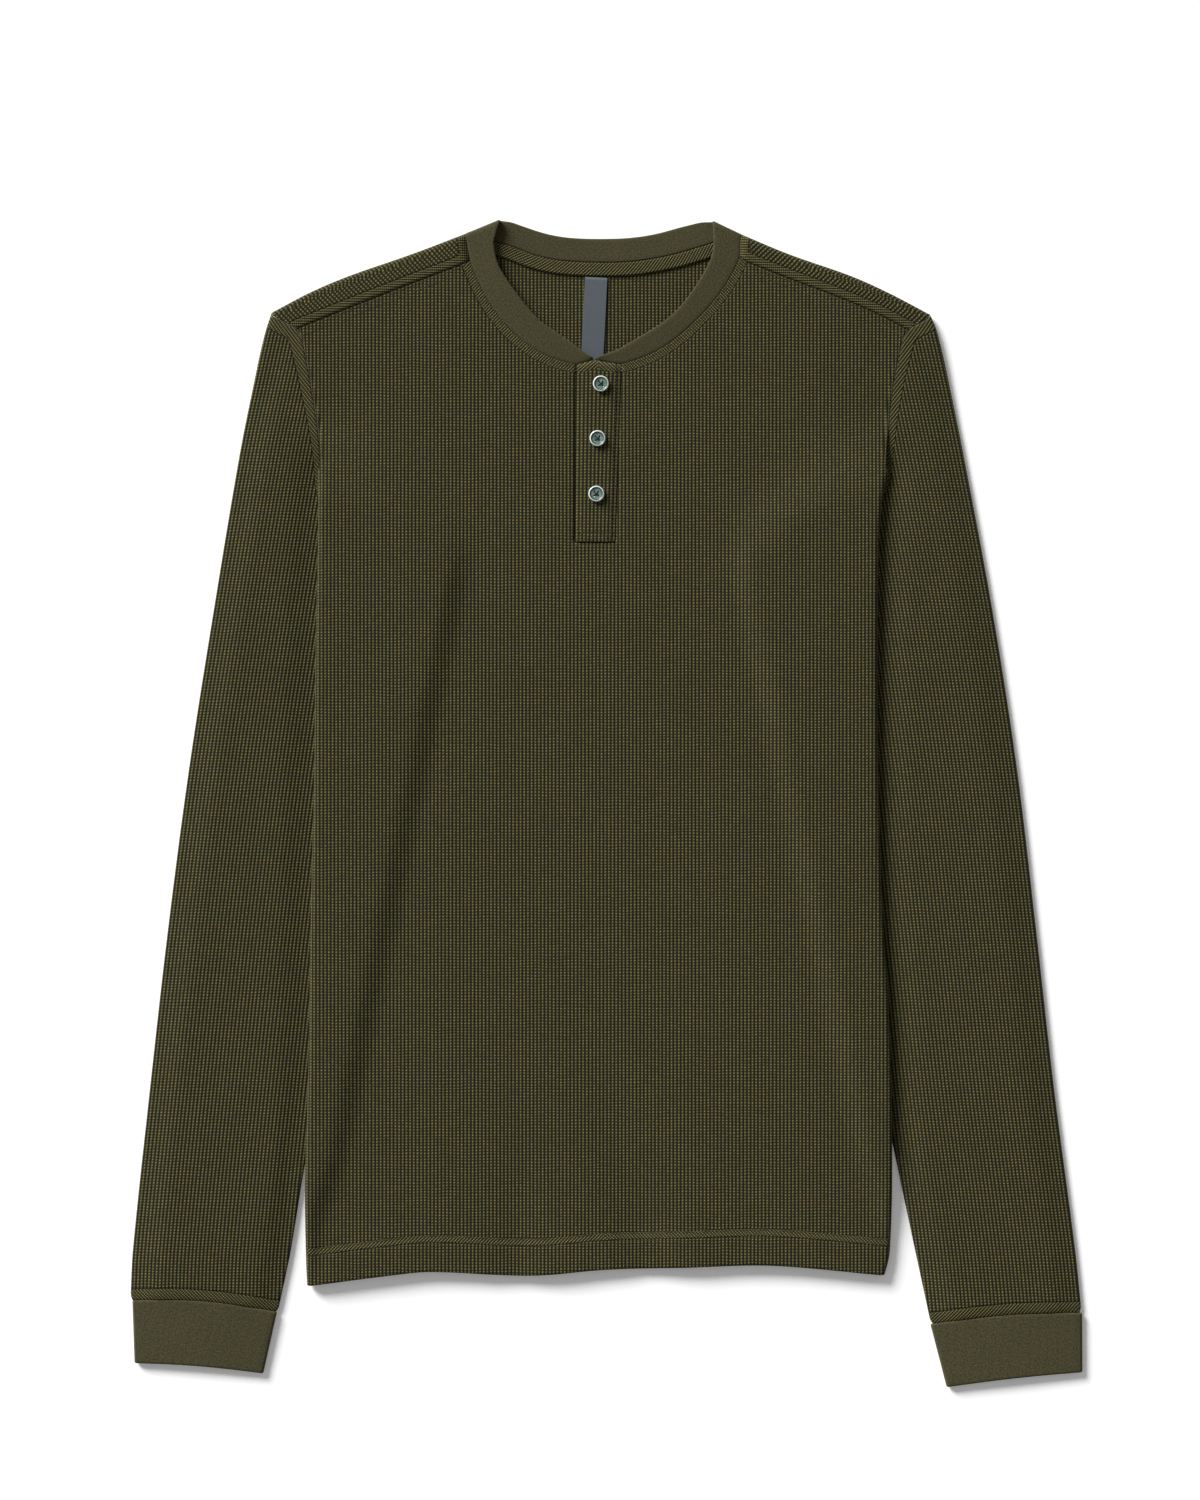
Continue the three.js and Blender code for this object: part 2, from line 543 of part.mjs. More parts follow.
function backPair(i, j) {
  if (j <= BACK_TOP_ROW) {
    return bodyPair(i, j, placeBack, backTopHeight, BACK_DEPTHS);
  }
  const { side, k } = lineAt(i);
  const fold = shoulderFold(side, k);
  const radius = frontHeight(fold.x, fold.y) / 2;
  const step = j - BACK_TOP_ROW - 1;
  if (step < SHOULDER_ROLL.length) {
    const angle = SHOULDER_ROLL[step];
    return [radius - KNIT, radius].map((r) => {
      const reach = r * Math.sin(angle) - radius;
      return vector(fold.x + fold.out.x * reach, fold.y + fold.out.y * reach, radius - r * Math.cos(angle));
    });
  }
  const end = frontEnd(side, k);
  const top = frontHeight(end.x, end.y - SEAM);
  return [vector(end.x, end.y, top - KNIT), vector(end.x, end.y, top)];
}

add('back_panel', wallGeometry({
  columns: BODY_COLUMNS,
  rows: BACK_ROWS,
  pair: backPair,
  present: (i, j) => {
    const k = Math.min(i, BODY_COLUMNS - 2 - i);
    return bodyPresent(i, j) && (j < BACK_TOP_ROW || (k >= EDGE_LINE && k < CORNER_LINE));
  },
  turned: bodyTurned,
}), OLIVE);

// Sleeves: flattened tubes, pressed flat under the body and lofted beside it. Each ring of columns goes
// from the outer edge over the top to the inner edge, and back underneath.
const SLEEVE_CELLS = 8; // across the top, and across the underside
const SLEEVE_ROWS = [1, 0.95, 0.88, 0.8, 0.71, 0.62, 0.53, 0.45, 0.37, 0.3, 0.23, 0.17, 0.11, 0.06, 0.025, 0];
const SLEEVE_ROLL = [60, 120].map(THREE.MathUtils.degToRad);
const SOFT_EDGE = 22; // the loft comes up over this width from an edge
const HIDDEN_ARMHOLE = [192, 175, ARMPIT_Y]; // heights of the armhole's points under the turned-in side
const CAP_SHARE = 0.35; // the armhole's curve fades out over this share of the sleeve
const TIP_SHARE = 0.1; // and the full roll of the shoulder tip over this share
const BULGE_SHARE = 0.12; // the wrist seam's bow fades out over this share above it
const CLEAR_OF_BODY = { y: 215, over: 35 }; // over this height the sleeve comes out from beside the body
const BESIDE_BODY = 1; // the sleeve stays flat this far out from the body's edge

const minus = (a, b) => ({ x: a.x - b.x, y: a.y - b.y });
const plus = (a, b, scale = 1) => ({ x: a.x + b.x * scale, y: a.y + b.y * scale });
const between = (a, b, share) => ({ x: lerp(a.x, b.x, share), y: lerp(a.y, b.y, share) });

function unit(v) {
  const length = Math.hypot(v.x, v.y);
  return { x: v.x / length, y: v.y / length };
}

// The armhole's points, from the shoulder tip down to the armpit, as the body's own edge has them.
function armhole(side, place, topRow) {
  const points = [placeBack(columnOf(side, EDGE_LINE), BACK_TOP_ROW)];
  for (let j = topRow; j > FLAP_TOP_ROW; j -= 1) {
    points.push(place(columnOf(side, EDGE_LINE), j));
  }
  points.push({ x: side.edgeX(FLAP_TOP_Y), y: FLAP_TOP_Y });
  HIDDEN_ARMHOLE.forEach((y) => points.push({ x: side.edgeX(y) - side.sign * flapWidth(y), y }));
  return points.map((point, i) => {
    const along = unit(minus(points[Math.min(i + 1, points.length - 1)], points[Math.max(i - 1, 0)]));
    return plus(point, { x: -side.sign * along.y, y: side.sign * along.x }, SEAM);
  });
}

// A ring of wall points. topLine and underLine are places from the outer edge to the inner one, the tube's
// two edges are rolled with the two radii, and topAt gives the height of its upper face.
function tubeRing(side, thick, topLine, underLine, radii, topAt) {
  const ring = [];
  const cells = topLine.length - 1;
  const roll = (centre, out, radius, angle) => [radius, radius - thick].map((r) => vector(
    centre.x + out.x * r * Math.sin(angle),
    centre.y + out.y * r * Math.sin(angle),
    radius + r * Math.cos(angle),
  ));
  topLine.forEach((p, c) => {
    const end = c === 0 || c === cells;
    const top = end ? 2 * radii[c === 0 ? 0 : 1] : topAt(p, c);
    ring.push([vector(p.x, p.y, top), vector(p.x, p.y, top - thick)]);
  });
  const inOut = unit(minus(topLine[cells], topLine[cells - 1]));
  SLEEVE_ROLL.forEach((angle) => ring.push(roll(topLine[cells], inOut, radii[1], angle)));
  [...underLine].reverse().forEach((p) => ring.push([vector(p.x, p.y, 0), vector(p.x, p.y, thick)]));
  const outOut = unit(minus(topLine[0], topLine[1]));
  [...SLEEVE_ROLL].reverse().forEach((angle) => ring.push(roll(topLine[0], outOut, radii[0], angle)));
  return side.sign < 0 ? ring : ring.reverse();
}

function sleeveRings(side) {
  const outerEnd = side.outer[0];
  const innerEnd = side.inner[0];
  const capTop = armhole(side, placeFront, FRONT_TOP_ROW);
  const capUnder = armhole(side, placeBack, FRONT_TOP_ROW);
  const tipRadius = frontHeight(side.shoulder[0].x, side.shoulder[0].y) / 2;
  const row = (t, radii) => {
    const outerY = lerp(side.shoulder[0].y, outerEnd.y, t);
    const innerY = lerp(ARMPIT_Y, innerEnd.y, t);
    const outer = { x: side.outerX(outerY), y: outerY };
    const inner = { x: side.innerX(innerY), y: innerY };
    const along = unit(minus(inner, outer));
    const from = plus(outer, along, radii[0]);
    const to = plus(inner, along, -radii[1]);
    const bulge = side.cuff.bulge * Math.max(0, 1 - (1 - t) / BULGE_SHARE);
    const line = [];
    for (let c = 0; c <= SLEEVE_CELLS; c += 1) {
      const share = c / SLEEVE_CELLS;
      line.push(plus(between(from, to, share), { x: 0, y: bulge * Math.sin(Math.PI * share) }));
    }
    return line;
  };
  const start = row(0, [tipRadius, PRESSED_ROLL]);
  const shaped = (line, cap, t) => {
    const fade = Math.max(0, 1 - t / CAP_SHARE) ** 2;
    return line.map((p, c) => plus(p, minus(cap[c], start[c]), fade));
  };
  return SLEEVE_ROWS.map((t) => {
    const tipRoll = PRESSED_ROLL + (tipRadius - PRESSED_ROLL) * Math.max(0, 1 - t / TIP_SHARE);
    const radii = [tipRoll, PRESSED_ROLL];
    const line = row(t, radii);
    const topAt = (p) => {
      const fromOuter = Math.abs(side.outerX(p.y) - p.x);
      const fromInner = p.y < ARMPIT_Y ? Math.abs(side.innerX(p.y) - p.x) : SOFT_EDGE;
      const outside = side.sign * (p.x - side.edgeX(p.y));
      const beside = smooth((outside - BESIDE_BODY) / SOFT_EDGE);
      const above = smooth((p.y - CLEAR_OF_BODY.y) / CLEAR_OF_BODY.over);
      const clear = p.y < hemY(p.x) ? 1 : lerp(beside, 1, above);
      const loft = SLEEVE_LOFT * smooth(fromOuter / SOFT_EDGE) * smooth(fromInner / SOFT_EDGE);
      return SLEEVE_FLAT + clear * Math.max(2 * radii[0] - SLEEVE_FLAT, loft);
    };
    return tubeRing(side, KNIT, shaped(line, capTop, t), shaped(line, capUnder, t), radii, topAt);
  });
}

// Cuffs: shorter tubes of the smooth band
const CUFF_ROWS = [0, 0.33, 0.67, 1];
const CUFF_CELLS = 6;
const CUFF_ROLL = RIB + GAP / 2;
const CUFF_LOFT = 0.8;

function cuffRings(side) {
  const { cuff } = side;
  return CUFF_ROWS.map((t) => {
    const outer = between(cuff.endOuter, cuff.sleeveOuter, t);
    const inner = between(cuff.endInner, cuff.sleeveInner, t);
    const along = unit(minus(inner, outer));
    const from = plus(outer, along, CUFF_ROLL);
    const to = plus(inner, along, -CUFF_ROLL);
    const line = [];
    for (let c = 0; c <= CUFF_CELLS; c += 1) {
      const share = c / CUFF_CELLS;
      const rise = cuff.bulge * Math.sin(Math.PI * share) * lerp(0.4, 1, t);
      line.push(plus(between(from, to, share), { x: 0, y: rise }));
    }
    const topAt = (p, c) => 2 * CUFF_ROLL + CUFF_LOFT * Math.sin((Math.PI * c) / CUFF_CELLS);
    return tubeRing(side, RIB, line, line, [CUFF_ROLL, CUFF_ROLL], topAt);
  });
}

function addTube(name, rings, color) {
  add(name, wallGeometry({
    columns: rings[0].length, rows: rings.length, pair: (i, j) => rings[j][i], ring: true,
  }), color);
}

for (const side of SIDES) {
  addTube(`sleeve_${side.name}`, sleeveRings(side), OLIVE);
  addTube(`cuff_${side.name}`, cuffRings(side), OLIVE_RIB);
}

// Collar: one band from the centre front round the back neck and down again. Its front halves lie on top,
// its back half lies on the surface, and it turns over at both sides of the neck.
const BAND_RISE = 0.9; // the free edge in front stands this much higher than the seam
const BAND_CELLS = 2;
const BACK_BAND = RIB / 2; // height of the back half's middle
const NECK_ROLL = [0, 60, 120, 180].map(THREE.MathUtils.degToRad);
const backEdge = trace([LEFT_FOLD, ...BACK_NECK, RIGHT_FOLD].map((p) => ({ x: p.edgeX, y: p.edgeY })));

const edgeOf = (row) => ({ x: row.edgeX, y: row.edgeY });

// A place on the band between its seam and its free edge, just clear of the seam.
function acrossBand(seam, edge, share) {
  return between(plus(seam, unit(minus(edge, seam)), SEAM), edge, share);
}

function frontStation(row) {
  return (share) => {
    const p = acrossBand(row, edgeOf(row), share);
    const z = frontHeight(row.x, row.y) - KNIT / 2 + BAND_RISE * share;
    return { p, z, normal: vector(0, 0, 1) };
  };
}

function backStation(share) {
  return (across) => {
    const p = acrossBand(backNeck(share), backEdge(share), across);
    return { p, z: BACK_BAND, normal: vector(0, 0, -1) };
  };
}

function foldStation(side, angle) {
  const along = unit(minus(edgeOf(side.fold), side.fold));
  const outward = { x: side.sign * along.y, y: Math.abs(along.x) };
  return (share) => {
    const top = frontHeight(side.fold.x, side.fold.y) - KNIT / 2 + BAND_RISE * share;
    const radius = (top - BACK_BAND) / 2;
    const at = acrossBand(side.fold, edgeOf(side.fold), share);
    const p = plus(at, outward, radius * Math.sin(angle) - radius - RIB / 2);
    const normal = vector(outward.x * Math.sin(angle), outward.y * Math.sin(angle), Math.cos(angle));
    return { p, z: BACK_BAND + radius + radius * Math.cos(angle), normal };
  };
}

function collarStations() {
  const [left, right] = SIDES;
  const stations = [left.tip, ...left.neck].map(frontStation);
  NECK_ROLL.forEach((angle) => stations.push(foldStation(left, angle)));
  for (let i = 1; i < NECK_CELLS; i += 1) {
    stations.push(backStation(i / NECK_CELLS));
  }
  [...NECK_ROLL].reverse().forEach((angle) => stations.push(foldStation(right, angle)));
  return [...stations, ...[right.tip, ...right.neck].reverse().map(frontStation)];
}

const stations = collarStations();
add('collar', wallGeometry({
  columns: BAND_CELLS + 1,
  rows: stations.length,
  pair: (i, j) => {
    const { p, z, normal } = stations[j](i / BAND_CELLS);
    return [1, -1].map((way) => vector(p.x, p.y, z).addScaledVector(normal, (way * RIB) / 2));
  },
}), OLIVE_RIB);

// Placket: an outer strip with the buttons over an under strip, in the front's slot
const PLACKET_CELLS = 4;
const [LEFT_END, RIGHT_END] = SIDES.map((side) => side.neck[0]);

function placketTopY(x) {
  const tip = x < LEFT_TIP.x ? LEFT_TIP : RIGHT_TIP;
  const end = x < LEFT_TIP.x ? LEFT_END : RIGHT_END;
  return lerp(tip.y, end.y, (x - tip.x) / (end.x - tip.x)) - 2 * SEAM;
}

function placketStrip(drop) {
  return wallGeometry({
    columns: PLACKET_CELLS + 1,
    rows: PLACKET_CELLS + 1,
    pair: (i, j) => {
      const across = i / PLACKET_CELLS - 0.5;
      const width = (y) => {
        const flare = (PLACKET_FLARE * (y - PLACKET_FOOT_Y)) / PLACKET_HEIGHT;
        return PLACKET_WIDTH + flare - 2 * SEAM;
      };
      const foot = PLACKET_FOOT_Y + SEAM;
      const end = PLACKET_FOOT_Y + PLACKET_HEIGHT;
      const y = lerp(foot, placketTopY(placketX(end) + across * width(end)), j / PLACKET_CELLS);
      const x = placketX(y) + across * width(y);
      const z = frontHeight(x, y) + PLACKET_RISE - drop;
      return [vector(x, y, z), vector(x, y, z - PLACKET_THICK)];
    },
  });
}

add('placket_outer', placketStrip(0), OLIVE);
add('placket_under', placketStrip(PLACKET_THICK + GAP), OLIVE);

// Tape over the back neck seam, inside, and the bare label that comes out from under it
const TAPE_ENDS = 0.07; // share of the neck seam that it leaves free at each side
const TAPE_CELLS = 16;

add('neck_tape', wallGeometry({
  columns: TAPE_CELLS + 1,
  rows: 2,
  pair: (i, j) => {
    const share = lerp(TAPE_ENDS, 1 - TAPE_ENDS, i / TAPE_CELLS);
    const p = backNeck(share);
    const along = unit(minus(backNeck(share + 0.01), backNeck(share - 0.01)));
    const q = plus(p, { x: along.y, y: -along.x }, j === 0 ? TAPE_WIDTH : SEAM);
    return [vector(q.x, q.y, PLY + TAPE_THICK), vector(q.x, q.y, PLY)];
  },
}), OLIVE);

add('neck_label', wallGeometry({
  columns: 2,
  rows: 4,
  pair: (i, j) => {
    const along = unit({ x: LABEL.topX - LABEL.endX, y: LABEL.topY - LABEL.endY });
    const across = { x: along.y, y: -along.x };
    const middle = between({ x: LABEL.endX, y: LABEL.endY }, { x: LABEL.topX, y: LABEL.topY }, j / 3);
    const p = plus(middle, across, (i - 0.5) * LABEL.width);
    return [vector(p.x, p.y, PLY + LABEL.thick), vector(p.x, p.y, PLY)];
  },
}), new THREE.Color().setStyle('rgb(100, 108, 111)'), 0.8);

// Buttons: a raised rim round a dished middle with four holes
const BUTTON_PROFILE = [
  { r: 0, z: 0 }, { r: 4.6, z: 0 }, { r: 5.3, z: 0.7 }, { r: 5.3, z: 1.8 }, { r: 4.9, z: 2.4 },
  { r: 4.3, z: 2.3 }, { r: 3.8, z: 1.6 }, { r: 0, z: 1.5 },
];
const BUTTON_SIDES = 22;
const HOLE_RADIUS = 0.6;
const HOLE_PLACE = 1.25;

function solidOf(geometry) {
  geometry.deleteAttribute('normal');
  geometry.deleteAttribute('uv');
  const merged = mergeVertices(geometry, 1e-4);
  return new wasm.Manifold(new wasm.Mesh({
    numProp: 3,
    vertProperties: new Float32Array(merged.getAttribute('position').array),
    triVerts: new Uint32Array(merged.index.array),
  }));
}

function buttonGeometry() {
  const profile = BUTTON_PROFILE.map((row) => new THREE.Vector2(row.r, row.z));
  let button = solidOf(new THREE.LatheGeometry(profile, BUTTON_SIDES).rotateX(Math.PI / 2));
  for (const [dx, dy] of [[1, 1], [1, -1], [-1, -1], [-1, 1]]) {
    const hole = new THREE.CylinderGeometry(HOLE_RADIUS, HOLE_RADIUS, 4 * BUTTON_THICK, 8);
    hole.rotateX(Math.PI / 2).translate(dx * HOLE_PLACE, dy * HOLE_PLACE, 0);
    button = button.subtract(solidOf(hole));
  }
  const mesh = button.getMesh();
  const geometry = new THREE.BufferGeometry();
  geometry.setAttribute('position', new THREE.Float32BufferAttribute(mesh.vertProperties, 3));
  geometry.setIndex([...mesh.triVerts]);
  return geometry;
}

for (const { name, x, y } of BUTTONS) {
  const seat = frontHeight(x, y) + PLACKET_RISE + SEAM;
  add(name, buttonGeometry().translate(x, y, seat), new THREE.Color().setStyle('rgb(120, 145, 135)'), 0.35);
}

export default shirt;
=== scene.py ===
"""A long-sleeved henley shirt in waffle knit, laid flat and seen from above: its looks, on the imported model.

Lengths are in millimetres up to the point where a mesh is made, with +Z up from the surface.
"""

import math

import bmesh
import bpy
import numpy as np
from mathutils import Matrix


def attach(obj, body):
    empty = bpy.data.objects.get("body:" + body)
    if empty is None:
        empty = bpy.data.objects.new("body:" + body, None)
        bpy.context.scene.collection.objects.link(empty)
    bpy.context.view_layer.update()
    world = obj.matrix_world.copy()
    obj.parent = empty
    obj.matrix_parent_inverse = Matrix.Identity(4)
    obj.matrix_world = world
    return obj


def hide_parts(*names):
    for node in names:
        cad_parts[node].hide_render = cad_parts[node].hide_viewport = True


MM = 0.001
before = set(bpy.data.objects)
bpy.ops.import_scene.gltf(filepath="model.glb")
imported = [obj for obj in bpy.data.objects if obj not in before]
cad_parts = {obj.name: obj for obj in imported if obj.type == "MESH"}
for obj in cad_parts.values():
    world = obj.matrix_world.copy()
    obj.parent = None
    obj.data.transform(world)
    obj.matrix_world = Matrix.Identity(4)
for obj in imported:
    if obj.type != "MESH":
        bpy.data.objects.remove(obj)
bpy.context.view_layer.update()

# Cloth and how it lies, as in the solids
KNIT = 1.3
GAP = 0.4
PLY = KNIT + GAP
SEAM = 0.3
RIB = 1.8
HEM_RISE = 0.5
HEM_DEPTH = 22
FOLD_RADIUS = 2 * PLY - GAP / 2
FULL_ROLL = math.pi * FOLD_RADIUS
CENTRE_LOFT = 3.1
EDGE_LOFT = 0.75
LOFT_WIDTH = 60
SLEEVE_FLAT = PLY + KNIT
SLEEVE_LOFT = 2.3
PRESSED_ROLL = SLEEVE_FLAT / 2
FLAP = 75
ARMPIT_Y = 162
FLAP_TOP_Y = 222
SETTLE = 63  # the front sinks to the surface over this width, past the flap
FLAP_MARGIN = 12  # the front stays level this far past the flap
HELD_UP_Y = 130  # above this the level part gets narrower
HELD_UP_HEIGHT = 110
SINK_START = 26  # below the flap's top
SINK_HEIGHT = 66
SLEEVE_MARGIN = (2, 11)  # level past the sleeve's inner edge, at the wrist and above it
SLEEVE_SETTLE = 20
BLEND_HEIGHT = 60
WRIST_Y = -290
HEM_Y = -312
HEM_FOLDS_Y = -310.8
HEM_STITCHES = (19.5, 24.0)  # above the hem's edge
HEM_GROOVES = (19.5, 24.6)
HEM_BAND = 22.2
NO_HEM = 999.0  # the hem attribute where there is no hem
NECK_BAND = 6.0
SHOULDER_BAND = 6.0
CUFF_BAND = 7.5
ARMHOLE_BAND = (9.3, 4.0)  # at the shoulder tip and where the seam goes under
PLACKET_WIDTH = 27
PLACKET_FOOT_Y = 173.3
PLACKET_HEIGHT = 118
PLACKET_THICK = 1.8
PLACKET_RISE = 0.8
PLACKET_GAP = 0.08  # beside the placket, in its slot
PLACKET_FLARE = 3.2  # wider than that at its top
SHOULDER_Y = 315.7
BACK_SHOULDER_Y = 324.3
LOW_HEIGHT = PLACKET_FOOT_Y - HEM_Y
TINY = 1e-6


def rows(names, *values):
    """A short table: one array for each named column."""
    return dict(zip(names.split(), np.array(values, float).T))


LEFT = {
    "name": "left", "sign": -1,
    "edge": rows("y x", (-322, -198.2), (-296, -199.4), (-243, -200), (-162, -197.5), (-81, -196.5),
                 (1, -194.4), (93, -193.1), (174, -191.5), (201, -191), (222, -189.6), (246, -191.2),
                 (270, -194.8), (294, -199), (315.7, -205.5), (326.7, -222.3)),
    "outer": rows("y x", (-331.3, -316.6), (-298, -315), (-191, -303.7), (-85, -291.7), (22, -277.7),
                  (129, -261), (235, -243), (289, -231.7), (315, -225.9), (326.7, -222.3)),
    "inner": rows("y x", (-338.9, -218.3), (-298, -209.7), (-241.3, -200.3), (-110, -173.2),
                  (26, -145.1), (162, -117)),
    "neck": rows("x y edge_x edge_y", (-19.4, 291.9, -15.5, 301), (-30.6, 294.7, -24, 307.5),
                 (-42.8, 299.8, -33.8, 314), (-54.9, 307.8, -44, 321.5), (-65.2, 317.3, -53, 331.5),
                 (-73.7, 327.8, -60.5, 341.3), (-80.4, 338.7, -66.3, 349.7), (-85.8, 349.9, -70.8, 357.3),
                 (-90.1, 361, -73.4, 366), (-91.9, 370.5, -74.3, 373.7)),
    "fold": (-93.6, 379.3, -70.5, 388.6),
    "tip": (-8.2, 295.2, -8.3, 296.6),
    "shoulder": rows("x y seam_x seam_y", (-222.3, 326.7, -205.5, 315.7), (-197, 340, -185, 323.8),
                     (-170.3, 351.3, -158, 334.5), (-130, 365.3, -122, 348.4), (-93.1, 379.3, -90.2, 360.3)),
    "cuff": {"outer": ((-313.8, -373), (-315.2, -331.9)), "inner": ((-228, -379.9), (-219, -339.6)),
             "bulge": 3.3},
}
RIGHT = {
    "name": "right", "sign": 1,
    "edge": rows("y x", (-314, 185.4), (-296, 189.4), (-225, 190.8), (-135, 188.6), (-81, 184.9),
                 (1, 182.1), (93, 181.1), (174, 182.2), (201, 184), (222, 186.4), (246, 188),
                 (270, 190.4), (294, 194.6), (315.1, 201.3), (325.3, 216.3)),
    "outer": rows("y x", (-339.5, 317.3), (-298, 313), (-191, 299), (-85, 287), (22, 274.3),
                  (129, 257.7), (235, 237.7), (289, 226.3), (315, 220.2), (325.3, 216.3)),
    "inner": rows("y x", (-347, 216.8), (-298, 206.3), (-244.7, 195), (-110, 166.4), (26, 137.4),
                  (162, 108.3)),
    "neck": rows("x y edge_x edge_y", (10.8, 292.4, 8.5, 302.2), (21.7, 295.6, 17.5, 307.3),
                 (34.4, 301.2, 27, 313), (47.2, 309.7, 37.4, 319.5), (59.6, 320.9, 48, 328.7),
                 (70.4, 332.4, 56.5, 339.2), (79.2, 344, 63, 349), (85.3, 354.6, 68.5, 358.7),
                 (88.9, 363, 71, 365.5), (89.6, 371, 72, 372.5)),
    "fold": (90.6, 378.9, 71.7, 387.7),
    "tip": (-7, 295.2, -6.9, 296.6),
    "shoulder": rows("x y seam_x seam_y", (216.3, 325.3, 201.3, 315.1), (189.7, 339.3, 181, 325.7),
                     (163, 351.3, 155, 336.8), (123, 365.3, 119, 350.4), (90.1, 379.0, 89.1, 362.2)),
    "cuff": {"outer": ((317.8, -379.1), (317.6, -340.2)), "inner": ((227.3, -389.1), (216.6, -347.8)),
             "bulge": 2.2},
}
SIDES = (LEFT, RIGHT)

HEM = rows("x y", (-200, -322), (-144, -314.7), (-117, -312.2), (-50, -314.7), (0, -310.8),
           (56, -309.3), (110, -308), (190, -315))
HEM_FOLDS = [  # x at the hem, lean, depth, half width, length
    (-108, -0.04, -1.5, 15, 150), (-62, 0.03, -1.2, 13, 110), (-28, 0.02, 0.5, 16, 90),
    (26, -0.2, -1.5, 16, 170), (62, -0.1, 0.5, 16, 110), (94, -0.03, -1.1, 15, 100),
]
BACK_NECK = rows("x y edge_x edge_y", (-82.5, 376.4, -64.0, 387.4), (-72.8, 374.3, -54.5, 384.2),
                 (-61, 370.6, -46, 381.3), (-48, 365.6, -36.5, 378.7), (-33.8, 362.2, -25.5, 376.9),
                 (-17, 360.7, -12.8, 376.1), (0, 360.3, 0, 376), (17, 360.9, 12.8, 376.4),
                 (33.8, 363.3, 25.5, 377.8), (48, 366.4, 37, 380.1), (61, 370.2, 47.5, 383),
                 (72, 373.6, 56.5, 385.3), (81.5, 376.4, 64.5, 387.1))
BUTTONS = {"button_top": (-3.1, 279.1), "button_middle": (-5.3, 242.7), "button_bottom": (-6.1, 205.8)}


# Small helpers

def lerp(a, b, t):
    return a + (b - a) * t


def smooth(t):
    u = np.clip(t, 0, 1)
    return u * u * (3 - 2 * u)


def hermite(xs, ys, value):
    """A smooth curve through the points (xs, ys), read at value."""
    xs, ys = np.asarray(xs, float), np.asarray(ys, float)
    low, high = np.arange(len(xs)) - 1, np.arange(len(xs)) + 1
    low[0], high[-1] = 0, len(xs) - 1
    tangent = (ys[high] - ys[low]) / (xs[high] - xs[low])
    v = np.clip(value, xs[0], xs[-1])
    i = np.clip(np.searchsorted(xs, v, side="right") - 1, 0, len(xs) - 2)
    width = xs[i + 1] - xs[i]
    t = (v - xs[i]) / width
    bend = (1 - t) ** 2 * t * tangent[i] - (1 - t) * t * t * tangent[i + 1]
    return ys[i] + smooth(t) * (ys[i + 1] - ys[i]) + width * bend


def along_rows(table, names, index):
    """The named columns of a table, read smoothly at a row number that may be a fraction."""
    numbers = np.arange(len(table[names.split()[0]]))
    return [hermite(numbers, table[name], index) for name in names.split()]


def run_along(*axes):
    """The length along a line up to each of its points, from the points' coordinates."""
    steps = np.linalg.norm(np.diff(axes), axis=0)
    return np.concatenate([[0], np.cumsum(steps)])


def trace(xs, ys):
    """The smooth curve through points of the plane, as a function of its share of length."""
    chord = run_along(xs, ys)
    dense = np.linspace(0, chord[-1], 600)
    curve = [hermite(chord, values, dense) for values in (xs, ys)]
    length = run_along(*curve)
    return lambda share: tuple(np.interp(share * length[-1], length, values) for values in curve)


def distance_to(points, line):
    """The distance in the plane from each point to a polyline, in the points' own shape."""
    flat = points[..., :2].reshape(-1, 2)
    best = np.full(len(flat), 1e9)
    for a, b in zip(line[:-1], line[1:]):
        way = b - a
        share = np.clip((flat - a) @ way / max(way @ way, 1e-9), 0, 1)
        best = np.minimum(best, np.hypot(*(flat - a - share[:, None] * way).T))
    return best.reshape(points.shape[:-1])


def edge_x(side, y):
    return hermite(side["edge"]["y"], side["edge"]["x"], y)


def outer_x(side, y):
    return hermite(side["outer"]["y"], side["outer"]["x"], y)


def inner_x(side, y):
    return hermite(side["inner"]["y"], side["inner"]["x"], y)


def hem_y(x):
    return hermite(HEM["x"], HEM["y"], x)


def placket_x(y):
    return lerp(-6.8, -4.3, (y - PLACKET_FOOT_Y) / PLACKET_HEIGHT)


# Heights of the layers at a place

def flap_width(y):
    rise = np.clip((FLAP_TOP_Y - y) / (FLAP_TOP_Y - ARMPIT_Y), 0, 1)
    return np.where(y <= ARMPIT_Y, FLAP, FLAP * (1 - np.sqrt(1 - rise * rise)))


def sleeve_under(side, x, y):
    """How far the sleeve under the body holds it up, from 0 to 1."""
    past = side["sign"] * (inner_x(side, y) - x)
    margin = lerp(*SLEEVE_MARGIN, smooth((y - WRIST_Y) / BLEND_HEIGHT))
    below = 1 - smooth((past - margin) / SLEEVE_SETTLE)
    return lerp(below, 1, smooth((y - ARMPIT_Y) / BLEND_HEIGHT))


def flap_under(side, x, y):
    """How far the turned-under side of the body holds it up, from 0 to 1."""
    inward = side["sign"] * (edge_x(side, y) - x)
    held_up = FLAP * (1 - smooth((y - HELD_UP_Y) / HELD_UP_HEIGHT))
    across = 1 - smooth((inward - held_up - FLAP_MARGIN) / SETTLE)
    return across * (1 - smooth((y - FLAP_TOP_Y + SINK_START) / SINK_HEIGHT))


def by_side(x, value):
    """value(side) for the half of the body that each x is on."""
    return np.where(x < 0, value(LEFT), value(RIGHT))


def back_height(x, y):
    return by_side(x, lambda s: flap_under(s, x, y) * 2 * PLY * (1 + sleeve_under(s, x, y)))


def hem_folds(x, y):
    up = y - HEM_FOLDS_Y
    height = 0
    for at, lean, depth, width, length in HEM_FOLDS:
        height = height + depth * np.exp(-((x - at - lean * up) / width) ** 2) * (1 - smooth(up / length))
    return height


